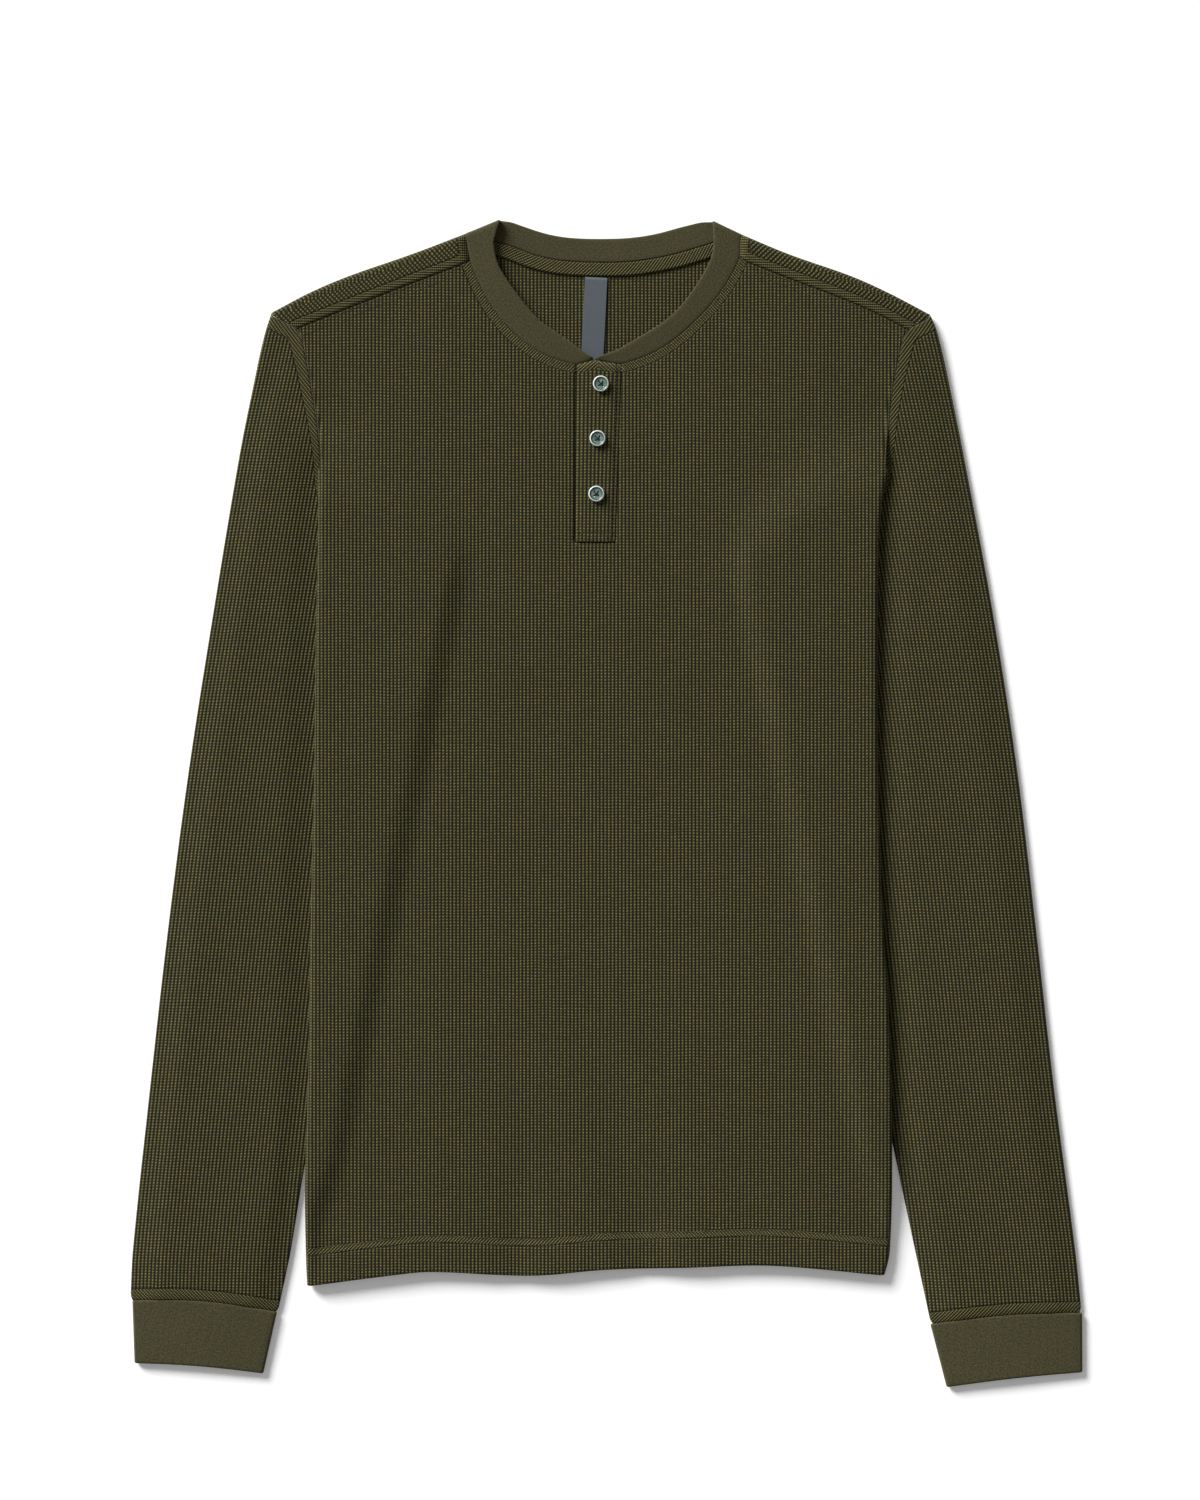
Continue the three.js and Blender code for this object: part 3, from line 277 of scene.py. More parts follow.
def front_height(x, y):
    inward = by_side(x, lambda s: s["sign"] * (edge_x(s, y) - x))
    free = 1 - by_side(x, lambda s: flap_under(s, x, y))
    loft = CENTRE_LOFT * free * lerp(EDGE_LOFT, 1, smooth(inward / LOFT_WIDTH))
    return back_height(x, y) + PLY + KNIT + loft + free * hem_folds(x, y)


# Meshes

def new_piece(name, points, faces, uvs=None, smooth_shading=True, **attributes):
    """A mesh object from points in millimetres, riding on the body, with uvs and attributes on its points."""
    mesh = bpy.data.meshes.new(name)
    mesh.from_pydata((np.asarray(points) * MM).tolist(), [], faces)
    mesh.validate()
    for key, values in attributes.items():
        mesh.attributes.new(key, "FLOAT", "POINT").data.foreach_set("value", np.asarray(values, np.float32))
    if uvs is not None:
        corner = np.zeros(len(mesh.loops), np.int32)
        mesh.loops.foreach_get("vertex_index", corner)
        layer = mesh.uv_layers.new(name="grain")
        layer.data.foreach_set("uv", (np.asarray(uvs)[corner] * MM).astype(np.float32).ravel())
    work = bmesh.new()
    work.from_mesh(mesh)
    bmesh.ops.recalc_face_normals(work, faces=work.faces)
    work.to_mesh(mesh)
    work.free()
    mesh.polygons.foreach_set("use_smooth", [smooth_shading] * len(mesh.polygons))
    piece = bpy.data.objects.new(name, mesh)
    bpy.context.scene.collection.objects.link(piece)
    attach(piece, "root")
    return piece


def wall(name, upper, lower, uv, present=None, ring=False, **attributes):
    """One closed wall between two grids of points. A ring joins its last column to its first, and cells
    where present is False are left out."""
    rows_n, columns = upper.shape[:2]
    cells = columns if ring else columns - 1
    if present is None:
        present = np.ones((rows_n - 1, cells), bool)
    number = np.arange(rows_n * columns).reshape(rows_n, columns)
    below = rows_n * columns
    faces = []
    js, cs = np.nonzero(present)
    for j, i in zip(js.tolist(), cs.tolist()):
        i2 = (i + 1) % columns
        a, b, c, d = number[j, i], number[j, i2], number[j + 1, i2], number[j + 1, i]
        faces.append((a, b, c, d))
        faces.append((a + below, d + below, c + below, b + below))
        beside = ((j - 1, i, a, b), (j, i + 1, b, c), (j + 1, i, c, d), (j, i - 1, d, a))
        for nj, ni, p, q in beside:
            ni = ni % columns if ring else ni
            inside = 0 <= nj < rows_n - 1 and 0 <= ni < cells
            if not (inside and present[nj, ni]):
                faces.append((q, p, p + below, q + below))
    used = np.zeros(2 * below, bool)
    used[np.unique(np.concatenate([np.array(f) for f in faces]))] = True
    renumber = np.cumsum(used) - 1
    points = np.concatenate([upper.reshape(-1, 3), lower.reshape(-1, 3)])[used]
    faces = [tuple(int(renumber[v]) for v in f) for f in faces]
    double = {key: np.tile(np.asarray(value, float).ravel(), 2)[used] for key, value in attributes.items()}
    uvs = np.tile(uv.reshape(-1, 2), (2, 1))[used]
    return new_piece(name, points, faces, uvs, **double)


def xyz(x, y, z):
    return np.stack(np.broadcast_arrays(x, y, z), -1).astype(float)


# Body

# Each half is cut by numbered lines: 0 to 4 across the side turned under, 4 to 7 round the rolled fold with
# the outermost edge at 6, 11 above the turned side's own edge, 19 beside the placket and 20 in the middle.
TURNED_IN = [FLAP, 56, 37, 18, FOLD_RADIUS]
ROLL_END_LINE, EDGE_LINE, TOP_LINE, CORNER_LINE, SLOT_LINE, CENTRE_LINE = 4, 6, 7, 11, 19, 20
TO_CORNER = [EDGE_LINE, TOP_LINE, 8, 9, 10, CORNER_LINE]
SEAM_SPAN = 25  # length of the shoulder seam's first span
FOLD_SPAN = 28  # length of the shoulder fold's first span
NECK_CELLS = 2 * (CENTRE_LINE - CORNER_LINE)
WHOLE_TURN = FULL_ROLL + FLAP - FOLD_RADIUS
TURNS = rows("y curl cloth", (ARMPIT_Y, 1, WHOLE_TURN), (PLACKET_FOOT_Y, 1, 40), (186, 1, 22),
             (198, 1, 13), (210, 0.75, 8), (FLAP_TOP_Y, 0.35, 4.5))
BARE_TURN = 13


def low_x(side, k, y):
    edge, sign = edge_x(side, y), side["sign"]
    slot_edge = placket_x(y) + sign * PLACKET_WIDTH / 2
    inward = np.interp(k, TO_CORNER[1:], TURNED_IN[::-1])
    x = np.where(k < TOP_LINE, edge, edge - sign * inward)
    share = np.clip((k - CORNER_LINE) / (SLOT_LINE - CORNER_LINE), 0, 1)
    x = np.where(k > CORNER_LINE, lerp(edge - sign * FLAP, slot_edge, share), x)
    return np.where(k > SLOT_LINE, lerp(slot_edge, placket_x(y), np.clip(k - SLOT_LINE, 0, 1)), x)


def front_end(side, k):
    neck = along_rows(side["neck"], "x y", np.clip(SLOT_LINE - k, 0, 8))
    along = np.interp(k, TO_CORNER, [0, FOLD_RADIUS / SEAM_SPAN, 1, 2, 3, 4])
    seam = along_rows(side["shoulder"], "seam_x seam_y", along)
    return [np.where(k >= CORNER_LINE, a, b) for a, b in zip(neck, seam)]


def shoulder_fold(side, k):
    """Places along the fold over the shoulder, and the way that it points."""
    along = np.interp(k, TO_CORNER, [0, FOLD_RADIUS / FOLD_SPAN, 1, 2, 3, 4])
    x, y = along_rows(side["shoulder"], "x y", along)
    table = side["shoulder"]
    lean = math.atan2(table["y"][-1] - table["y"][0], abs(table["x"][-1] - table["x"][0]))
    return x, y, (side["sign"] * math.sin(lean), math.cos(lean))


back_neck = trace(np.r_[LEFT["fold"][0], BACK_NECK["x"], RIGHT["fold"][0]],
                  np.r_[LEFT["fold"][1], BACK_NECK["y"], RIGHT["fold"][1]])
back_edge = trace(np.r_[LEFT["fold"][2], BACK_NECK["edge_x"], RIGHT["fold"][2]],
                  np.r_[LEFT["fold"][3], BACK_NECK["edge_y"], RIGHT["fold"][3]])


def back_end(side, k):
    across = np.clip((k - CORNER_LINE) / NECK_CELLS, 0, 0.5)
    neck = back_neck(across if side["sign"] < 0 else 1 - across)
    x, y, out = shoulder_fold(side, np.minimum(k, CORNER_LINE))
    radius = front_height(x, y) / 2
    fold = (x - out[0] * radius, y - out[1] * radius)
    return [np.where(k > CORNER_LINE, a, b) for a, b in zip(neck, fold)]


def body_place(side, k, low, high, end):
    """Place in the plane of line k at a share of the way up to the placket's foot, or above that."""
    k, low, high = np.broadcast_arrays(np.asarray(k, float), low, high)
    x = low_x(side, k, lerp(HEM_Y, PLACKET_FOOT_Y, low))
    y = lerp(hem_y(x), PLACKET_FOOT_Y, low)
    end_x, end_y = end(side, k)
    tip_x, tip_y = [float(v) for v in end(side, np.array(float(EDGE_LINE)))]
    bend = edge_x(side, lerp(PLACKET_FOOT_Y, tip_y, high)) - lerp(edge_x(side, PLACKET_FOOT_Y), tip_x, high)
    fade = (1 - np.clip((k - TOP_LINE) / (SLOT_LINE - TOP_LINE), 0, 1)) ** 2
    high_x = lerp(low_x(side, k, PLACKET_FOOT_Y), end_x, high) + bend * fade
    high_y = lerp(PLACKET_FOOT_Y, end_y, high)
    return np.where(high > 0, high_x, x), np.where(high > 0, high_y, y)


def cloth_to(k, total):
    """Cloth from the flat top round the fold to line k, where total goes round in all."""
    step = FULL_ROLL / (TOP_LINE - ROLL_END_LINE)
    on_roll = step * (TOP_LINE - k)
    beyond = np.clip((np.interp(k, np.arange(5), TURNED_IN) - FOLD_RADIUS) / (FLAP - FOLD_RADIUS), 0, 1)
    bare = np.where(k >= 5, on_roll, lerp(FULL_ROLL, BARE_TURN, beyond))
    short = np.where(bare <= step, bare, step + (bare - step) * (total - step) / (BARE_TURN - step))
    whole = np.where(k >= ROLL_END_LINE, on_roll, lerp(FULL_ROLL, total, beyond))
    return np.where(total >= BARE_TURN, whole, short)


def body_faces(side, k, low, high, end, height, depths):
    """Upper and lower points of a half of the body's wall, and its grain, for columns k and the rows."""
    k = np.asarray(k, float)[None, :]
    low, high = np.asarray(low, float)[:, None], np.asarray(high, float)[:, None]
    sign = side["sign"]
    x, y = body_place(side, k, low, high, end)
    start_x, start_y = body_place(side, np.full((1, 1), float(TOP_LINE)), low, high, end)
    curl, total = (np.interp(start_y, TURNS["y"], TURNS[name]) for name in ("curl", "cloth"))
    cloth = cloth_to(k, total)
    radius = FOLD_RADIUS / curl
    angle = cloth / radius
    top = height(start_x, start_y) + depths[0]
    above_x, above_y = body_place(side, np.maximum(2 * EDGE_LINE - 1 - k, TOP_LINE), low, high, end)
    whole = start_y <= ARMPIT_Y + 1
    under_x = np.where(whole, above_x, start_x - sign * (cloth - FULL_ROLL))
    under_y = np.where(whole, above_y, start_y)
    under_z = 2 * PLY * sleeve_under(side, under_x, under_y)
    flat_share = smooth((start_y - FLAP_TOP_Y) / 24)
    faces = []
    for depth in depths:
        flat = xyz(x, y, height(x, y) + depths[0] - depth)
        roll = xyz(start_x + sign * (radius - depth) * np.sin(angle), start_y + 0 * angle,
                   top - radius + (radius - depth) * np.cos(angle))
        under = xyz(under_x, under_y, under_z + depth)
        turned = np.where((angle < math.pi + 0.01)[..., None], roll, under)
        turned = lerp(turned, flat, flat_share[..., None])
        faces.append(np.where((k < TOP_LINE)[..., None], turned, flat))
    grain_x = np.where(k < TOP_LINE, start_x + sign * cloth, x)
    return faces[0], faces[1], np.stack(np.broadcast_arrays(grain_x, y), -1)


def spread(marks, step):
    """Numbers from the first mark to the last, about step apart, with every mark among them."""
    found = [marks[0]]
    for a, b in zip(marks[:-1], marks[1:]):
        count = max(1, round(abs(b - a) / step))
        found += list(np.linspace(a, b, count + 1)[1:])
    return np.array(found)


TURN_COLUMNS = np.concatenate([np.arange(0, 4, 0.25), np.arange(4, 7, 1 / 3), np.arange(7, 11, 0.2),
                               np.arange(11, 19, 0.25)])
SLOT_COLUMNS = np.array([19, 19.25, 19.5, 19.75])
HEM_ROWS = np.array([0, 0.25, 0.8, 2, 5, 9, 13, 17, 20.5, 22, 23.5])


def body_lines(front):
    """Fine columns of each half as (side, k), and the rows as low and high shares."""
    low = np.concatenate([HEM_ROWS, np.arange(27, 485, 4)]) / LOW_HEIGHT
    top = SHOULDER_Y if front else BACK_SHOULDER_Y
    heights = spread([PLACKET_FOOT_Y, ARMPIT_Y + 24, FLAP_TOP_Y, 294, top - 0.5, top], 4)
    high = (heights - PLACKET_FOOT_Y) / (top - PLACKET_FOOT_Y)
    columns = np.concatenate([TURN_COLUMNS, SLOT_COLUMNS, [CENTRE_LINE]])
    return columns, np.r_[low, np.ones(len(high))], np.r_[np.zeros(len(low)), high]


def joined(left, right):
    """A left and a right half as one grid. They share the centre column."""
    return np.concatenate([left, right[:, -2::-1]], axis=1)


def body_grid(front):
    k, low, high = body_lines(front)
    end = front_end if front else back_end
    height = front_height if front else (lambda x, y: back_height(x, y) + KNIT)
    depths = (0, KNIT) if front else (PLY, PLY + KNIT)
    halves = [body_faces(side, k, low, high, end, height, depths) for side in SIDES]
    upper, lower, grain = (joined(a, b) for a, b in zip(*halves))
    return k, low, high, upper, lower, grain


def neck_line():
    """The front neck seam from the placket's left edge outward and from its right edge outward."""
    fine = np.linspace(0, 8, 65)
    return [np.stack(along_rows(side["neck"], "x y", fine), -1) for side in SIDES]


def cell_lines(k):
    """For each cell across the body, the line on its outer side."""
    return np.concatenate([k[:-1], k[-2::-1]])


def above_flap(high, top):
    """Whether each row of cells is above the flap's top, on a panel that ends at top."""
    return high[1:] > (FLAP_TOP_Y - PLACKET_FOOT_Y) / (top - PLACKET_FOOT_Y) + TINY


def squeeze(upper, lower, share):
    """Brings the two faces together, as where cloth is folded at an edge."""
    middle = (upper + lower) / 2
    return lerp(middle, upper, share[..., None]), lerp(middle, lower, share[..., None])


def fold_profile(distance, thick):
    """How full a folded edge is, at a distance from it."""
    inside = np.clip(1 - 2 * distance / thick, 0, 1)
    return np.sqrt(np.clip(1 - inside ** 2, 0.02, 1))


def make_front():
    k, low, high, upper, lower, grain = body_grid(True)
    columns = cell_lines(k)
    beyond_edge = above_flap(high, SHOULDER_Y)[:, None] & (columns < EDGE_LINE - TINY)
    slot = (high[1:, None] > 0) & (columns >= SLOT_LINE - TINY)
    from_hem = low * LOW_HEIGHT
    hem = (1 - smooth((from_hem - HEM_DEPTH + 1) / 2)) * np.where(high > 0, 0, 1)
    full_k = np.concatenate([k, k[-2::-1]])
    upper[..., 2] += HEM_RISE * hem[:, None] * smooth(full_k - TOP_LINE)[None, :]
    profile = np.repeat(fold_profile(from_hem, KNIT + HEM_RISE)[:, None], upper.shape[1], 1)
    upper, lower = squeeze(upper, lower, profile)
    seam_row = (high >= 1 - TINY)[:, None] & (full_k <= CORNER_LINE + TINY)
    upper[..., 1] -= SEAM * seam_row
    lower[..., 1] -= SEAM * seam_row
    neck = np.minimum(*[distance_to(upper, line) for line in neck_line()])
    hem_mm = np.repeat(np.where(high > 0, NO_HEM, from_hem)[:, None], upper.shape[1], 1)
    return wall("front", upper, lower, grain, ~(beyond_edge | slot), band=neck / NECK_BAND, hem=hem_mm)


def reflect(x, y, side):
    """The place on the back of the shirt that a point of the strip in front of the shoulder's fold had."""
    table = side["shoulder"]
    a, b = (np.array([table["x"][i], table["y"][i]]) for i in (0, -1))
    way = (b - a) / np.hypot(*(b - a))
    p = np.stack([x, y], -1) - a
    return a + 2 * (p @ way)[..., None] * way - p


BACK_ROLL = [math.radians(d) for d in np.linspace(0, 180, 10)[1:]]
STRIP_SHARES = np.linspace(0, 1, 7)[1:]


def shoulder_strip(side, k):
    """Upper and lower points and grain of the back's cloth, from the shoulder's fold to the seam in front."""
    x, y, out = shoulder_fold(side, k)
    radius = front_height(x, y) / 2
    ups, lows, grains = [], [], []
    for angle in BACK_ROLL:
        for r, found in ((radius - KNIT, ups), (radius, lows)):
            reach = r * np.sin(angle) - radius
            found.append(xyz(x + out[0] * reach, y + out[1] * reach, radius - r * np.cos(angle)))
        reach = radius * angle - radius
        grains.append(np.stack([x + out[0] * reach, y + out[1] * reach], -1))
    start = x - out[0] * radius, y - out[1] * radius
    rolled = np.stack([way * (math.pi - 2) * radius for way in out], -1)
    for share in STRIP_SHARES:
        x, y = (lerp(a, b, share) for a, b in zip(start, front_end(side, k)))
        z = front_height(x, y - SEAM)
        ups.append(xyz(x, y, z - KNIT))
        lows.append(xyz(x, y, z))
        grains.append(reflect(x, y, side) + rolled)
    return [np.stack(values) for values in (ups, lows, grains)]


def make_back():
    k, low, high, upper, lower, grain = body_grid(False)
    from_hem = low * LOW_HEIGHT
    halves = [shoulder_strip(side, np.minimum(k, CORNER_LINE)) for side in SIDES]
    strips = [joined(a, b) for a, b in zip(*halves)]
    upper, lower, grain = (np.concatenate(pair) for pair in zip((upper, lower, grain), strips))
    body_rows, strip_rows = len(low), len(strips[0])
    columns = cell_lines(k)
    strip = np.arange(1, body_rows + strip_rows) >= body_rows
    high_up = np.r_[above_flap(high, BACK_SHOULDER_Y), strip[-strip_rows:]]
    beyond_edge = high_up[:, None] & (columns < EDGE_LINE - TINY)
    neck = strip[:, None] & (columns >= CORNER_LINE - TINY)
    profile = np.ones(upper.shape[:2])
    profile[:body_rows] = fold_profile(from_hem, KNIT)[:, None]
    upper, lower = squeeze(upper, lower, profile)
    hem_mm = np.full(upper.shape[:2], NO_HEM)
    hem_mm[:body_rows] = np.where(high > 0, NO_HEM, from_hem)[:, None]
    band = np.full(upper.shape[:2], 9.0)
    seams = [np.stack(front_end(side, np.linspace(EDGE_LINE, CORNER_LINE, 60)), -1) for side in SIDES]
    from_seam = np.minimum(*[distance_to(lower, seam) for seam in seams])
    band[body_rows + 4:] = from_seam[body_rows + 4:] / SHOULDER_BAND
    collars = []
    for side in SIDES:
        ends = [side["neck"][name][8:] for name in "xy"]
        collars.append(np.array([*zip(*ends), side["fold"][:2]]))
    from_collar = np.minimum(*[distance_to(lower, line) for line in collars])
    band[body_rows - 1:] = np.minimum(band, from_collar / NECK_BAND)[body_rows - 1:]
    return wall("back", upper, lower, grain, ~(beyond_edge | neck), band=band, hem=hem_mm)


# Sleeves and cuffs

SLEEVE_CELLS = 40
SLEEVE_ROLL = [math.radians(d) for d in np.linspace(0, 180, 9)[1:-1]]
SOFT_EDGE = 22
CAP_SHARE = 0.35  # shares of the sleeve's length over which each shape fades out
BULGE_SHARE = 0.12
TIP_SHARE = 0.1
LEAN_SHARE = 0.05
CLEAR_Y = 215  # above this the sleeve no longer lies against the body
CLEAR_HEIGHT = 35
GATHER = 5  # length at the cuff over which the sleeve gets narrower and flatter
NARROWER = 0.032
FLATTER = 0.15


def armhole(side, end, top):
    """The armhole's points, from the shoulder tip down to the armpit, beside the body's own edge."""
    c = np.linspace(0, 8, SLEEVE_CELLS + 1)
    heights = np.interp(c, [1, 2, 3, 4, 5], [SHOULDER_Y, 294, 270, 246, FLAP_TOP_Y])
    high = (heights - PLACKET_FOOT_Y) / (top - PLACKET_FOOT_Y)
    edge = body_place(side, np.full(c.shape, float(EDGE_LINE)), 1.0, high, end)
    tip = [float(v) for v in back_end(side, np.array(float(EDGE_LINE)))]
    hidden_y = np.interp(c, [5, 6, 7, 8], [FLAP_TOP_Y, 192, 175, ARMPIT_Y])
    hidden_x = edge_x(side, hidden_y) - side["sign"] * flap_width(hidden_y)
    x = np.where(c < 1, lerp(tip[0], edge[0], np.clip(c, 0, 1)), np.where(c > 5, hidden_x, edge[0]))
    y = np.where(c < 1, lerp(tip[1], edge[1], np.clip(c, 0, 1)), np.where(c > 5, hidden_y, edge[1]))
    dx, dy = np.gradient(x), np.gradient(y)
    length = np.hypot(dx, dy)
    return x - side["sign"] * dy / length * SEAM, y + side["sign"] * dx / length * SEAM


def tube(thick, top_line, under_line, radii, top_at, lean=None):
    """One ring of a flattened tube: the outer and inner points, from the outer edge over the top. The roll
    at the outer edge points straight on along the ring, or the way that lean gives."""
    tx, ty = top_line
    ux, uy = under_line
    top = top_at(tx, ty)
    top[0], top[-1] = 2 * radii[0], 2 * radii[1]
    outer, inner = [xyz(tx, ty, top)], [xyz(tx, ty, top - thick)]

    def roll(at, out, radius, angles):
        for angle in angles:
            for r, ring in ((radius, outer), (radius - thick, inner)):
                x, y = (a + o * r * math.sin(angle) for a, o in zip(at, out))
                ring.append(np.array([[x, y, radius + r * math.cos(angle)]]))

    way = np.array([tx[-1] - tx[-2], ty[-1] - ty[-2]])
    roll((tx[-1], ty[-1]), way / np.hypot(*way), radii[1], SLEEVE_ROLL)
    outer.append(xyz(ux[::-1], uy[::-1], 0 * ux))
    inner.append(xyz(ux[::-1], uy[::-1], 0 * ux + thick))
    way = np.array([tx[0] - tx[1], ty[0] - ty[1]])
    way /= np.hypot(*way)
    if lean is not None:
        way = lerp(way, np.array(lean[0]), lean[1])
    roll((tx[0], ty[0]), way / np.hypot(*way), radii[0], SLEEVE_ROLL[::-1])
    return np.concatenate(outer), np.concatenate(inner)


def make_sleeve(side):
    sign = side["sign"]
    outer_table, inner_table = side["outer"], side["inner"]
    tip = (side["shoulder"]["x"][0], side["shoulder"]["y"][0])
    cap_top = armhole(side, front_end, SHOULDER_Y)
    cap_under = armhole(side, back_end, BACK_SHOULDER_Y)
    tip_radius = float(front_height(*map(np.array, tip))) / 2
    body_out = shoulder_fold(side, np.array(float(EDGE_LINE)))[2]
    share = np.linspace(0, 1, SLEEVE_CELLS + 1)

    def line(t, radii):
        oy, iy = lerp(tip[1], outer_table["y"][0], t), lerp(ARMPIT_Y, inner_table["y"][0], t)
        outer = np.array([float(outer_x(side, oy)), oy])
        inner = np.array([float(inner_x(side, iy)), iy])
        along = (inner - outer) / np.hypot(*(inner - outer))
        a, b = outer + along * radii[0], inner - along * radii[1]
        bulge = side["cuff"]["bulge"] * max(0, 1 - (1 - t) / BULGE_SHARE)
        return lerp(a[0], b[0], share), lerp(a[1], b[1], share) + bulge * np.sin(math.pi * share)

    start = line(0, [tip_radius, PRESSED_ROLL])

    def shaped(points, cap, t):
        fade = max(0, 1 - t / CAP_SHARE) ** 2
        return [p + (c - s) * fade for p, c, s in zip(points, cap, start)]

    def top_at(x, y, radii):
        from_outer = abs(outer_x(side, y) - x)
        from_inner = np.where(y < ARMPIT_Y, abs(inner_x(side, y) - x), SOFT_EDGE)
        beside = smooth((sign * (x - edge_x(side, y)) - 1) / SOFT_EDGE)
        clear = np.where(y < hem_y(x), 1, lerp(beside, 1, smooth((y - CLEAR_Y) / CLEAR_HEIGHT)))
        loft = SLEEVE_LOFT * smooth(from_outer / SOFT_EDGE) * smooth(from_inner / SOFT_EDGE)
        return SLEEVE_FLAT + clear * np.maximum(2 * radii[0] - SLEEVE_FLAT, loft)

    shares = np.r_[0, 0.0007, spread([0.003, 0.05, 0.93], 0.0064), np.linspace(0.93, 0.992, 16)[1:],
                   0.9945, 0.9965, 0.998, 0.9992, 1]
    length = tip[1] - outer_table["y"][0]
    outers, inners = [], []
    for t in shares[::-1]:
        radii = [PRESSED_ROLL + (tip_radius - PRESSED_ROLL) * max(0, 1 - t / TIP_SHARE), PRESSED_ROLL]
        flat = line(t, radii)
        rings = tube(KNIT, shaped(flat, cap_top, t), shaped(flat, cap_under, t), radii,
                     lambda x, y: top_at(x, y, radii), lean=(body_out, max(0, 1 - t / LEAN_SHARE)))
        near = max(0, 1 - (1 - t) * length / GATHER) ** 2
        middle = (flat[0][0] + flat[0][-1]) / 2
        for ring in rings:
            ring[:, 0] = middle + (ring[:, 0] - middle) * (1 - NARROWER * near)
            ring[:, 2] *= 1 - FLATTER * near
        outers.append(rings[0])
        inners.append(rings[1])
    outer, inner = np.stack(outers), np.stack(inners)
    columns = outer.shape[1]
    u = sign * (outer[..., 0] - outer_x(side, outer[..., 1]))
    under = np.zeros(columns, bool)
    under[SLEEVE_CELLS + 1 + 3:columns - 3] = True
    u = np.where(under[None, :], -u, u)
    v = outer[..., 1] * 1.0064
    from_hole = distance_to(outer, np.stack(cap_top, -1))
    width = np.interp(outer[..., 1], [FLAP_TOP_Y, tip[1]], ARMHOLE_BAND[::-1])
    cuff_line = np.stack(line(1, [PRESSED_ROLL] * 2), -1)
    first, last = cuff_line[0] * 2 - cuff_line[1], cuff_line[-1] * 2 - cuff_line[-2]
    cuff_line = np.concatenate([[first], cuff_line, [last]])
    band = np.minimum(from_hole / width, distance_to(outer, cuff_line) / CUFF_BAND)
    return wall(f"sleeve.{side['name']}", outer, inner, np.stack([u, v], -1), ring=True, band=band,
                hem=np.full(band.shape, NO_HEM))


CUFF_REACH = 1.02  # a cuff goes this much of its height up, into the sleeve's end
CUFF_SHARES = np.array([0, 0.006, 0.02, 0.045, 0.1, 0.2, 0.3, 0.4, 0.5, 0.6, 0.7, 0.8, 0.9, 0.955, 0.98,
                        0.994, 1])


def make_cuff(side):
    cuff = side["cuff"]
    roll = RIB + GAP / 2
    share = np.linspace(0, 1, 31)
    outers, inners = [], []
    for t in CUFF_SHARES:
        outer, inner = (lerp(*np.array(cuff[edge], float), t * CUFF_REACH) for edge in ("outer", "inner"))
        along = (inner - outer) / np.hypot(*(inner - outer))
        a, b = outer + along * roll, inner - along * roll
        rise = cuff["bulge"] * np.sin(math.pi * share) * lerp(0.4, 1, t)
        flat = lerp(a[0], b[0], share), lerp(a[1], b[1], share) + rise
        rings = tube(RIB, flat, flat, [roll, roll], lambda x, y: 2 * roll + 0.8 * np.sin(math.pi * share))
        outers.append(rings[0])
        inners.append(rings[1])
    outer, inner = np.stack(outers), np.stack(inners)
    height = np.hypot(*np.subtract(*cuff["outer"]))
    from_end = np.minimum(CUFF_SHARES, 1 - CUFF_SHARES) * height
    profile = np.repeat(fold_profile(from_end, RIB)[:, None], outer.shape[1], 1)
    outer, inner = squeeze(outer, inner, profile)
    step = np.hypot(*(np.diff(outer, axis=1)[..., :2]).transpose(2, 0, 1))
    u = np.concatenate([np.zeros((len(outer), 1)), np.cumsum(step, axis=1)], axis=1)
    v = np.repeat((CUFF_SHARES * height)[:, None], outer.shape[1], 1)
    return wall(f"cuff.{side['name']}", outer, inner, np.stack([u, v], -1), ring=True)


# Collar

BAND_RISE = 0.9
BAND_TUCK = 0.15  # the band goes this far into its seam
BACK_BAND = RIB / 2
NECK_ROLL = [math.radians(d) for d in (0, 30, 60, 90, 120, 150, 180)]


def across_band(seam, edge, share):
    seam, edge = np.array(seam, float), np.array(edge, float)
    way = (edge - seam) / np.hypot(*(edge - seam))
    return lerp(seam - way * BAND_TUCK, edge, share)


def collar_stations():
    """Stations round the band, each a function that gives the point and normal at a share across it."""
    def front(row):
        z = float(front_height(np.array(row[0]), np.array(row[1]))) - KNIT / 2
        return lambda s: (np.r_[across_band(row[:2], row[2:], s), z + BAND_RISE * s], np.array([0, 0, 1.0]))

    def fold(side, angle):
        row = side["fold"]
        way = np.array(row[2:]) - np.array(row[:2])
        way = way / np.hypot(*way)
        out = np.array([side["sign"] * way[1], abs(way[0])])
        base = float(front_height(np.array(row[0]), np.array(row[1]))) - KNIT / 2

        def station(s):
            radius = (base + BAND_RISE * s - BACK_BAND) / 2
            away = lerp(1.6, 0.6, s) * (math.sin(angle) - 1) - RIB / 2 * math.sin(angle)
            p = across_band(row[:2], row[2:], s) + out * away
            return (np.r_[p, BACK_BAND + radius * (1 + math.cos(angle))],
                    np.r_[out * math.sin(angle), math.cos(angle)])
        return station

    def back(share):
        return lambda s: (np.r_[across_band(back_neck(share), back_edge(share), s), BACK_BAND],
                          np.array([0, 0, -1.0]))

    def neck_rows(side):
        found = along_rows(side["neck"], "x y edge_x edge_y", np.arange(0, 9.01, 0.5))
        return [side["tip"], *zip(*found)]

    stations = [front(row) for row in neck_rows(LEFT)]
    stations += [fold(LEFT, angle) for angle in NECK_ROLL]
    stations += [back(i / 36) for i in range(2, 35)]
    stations += [fold(RIGHT, angle) for angle in NECK_ROLL[::-1]]
    stations += [front(row) for row in neck_rows(RIGHT)[::-1]]
    return stations


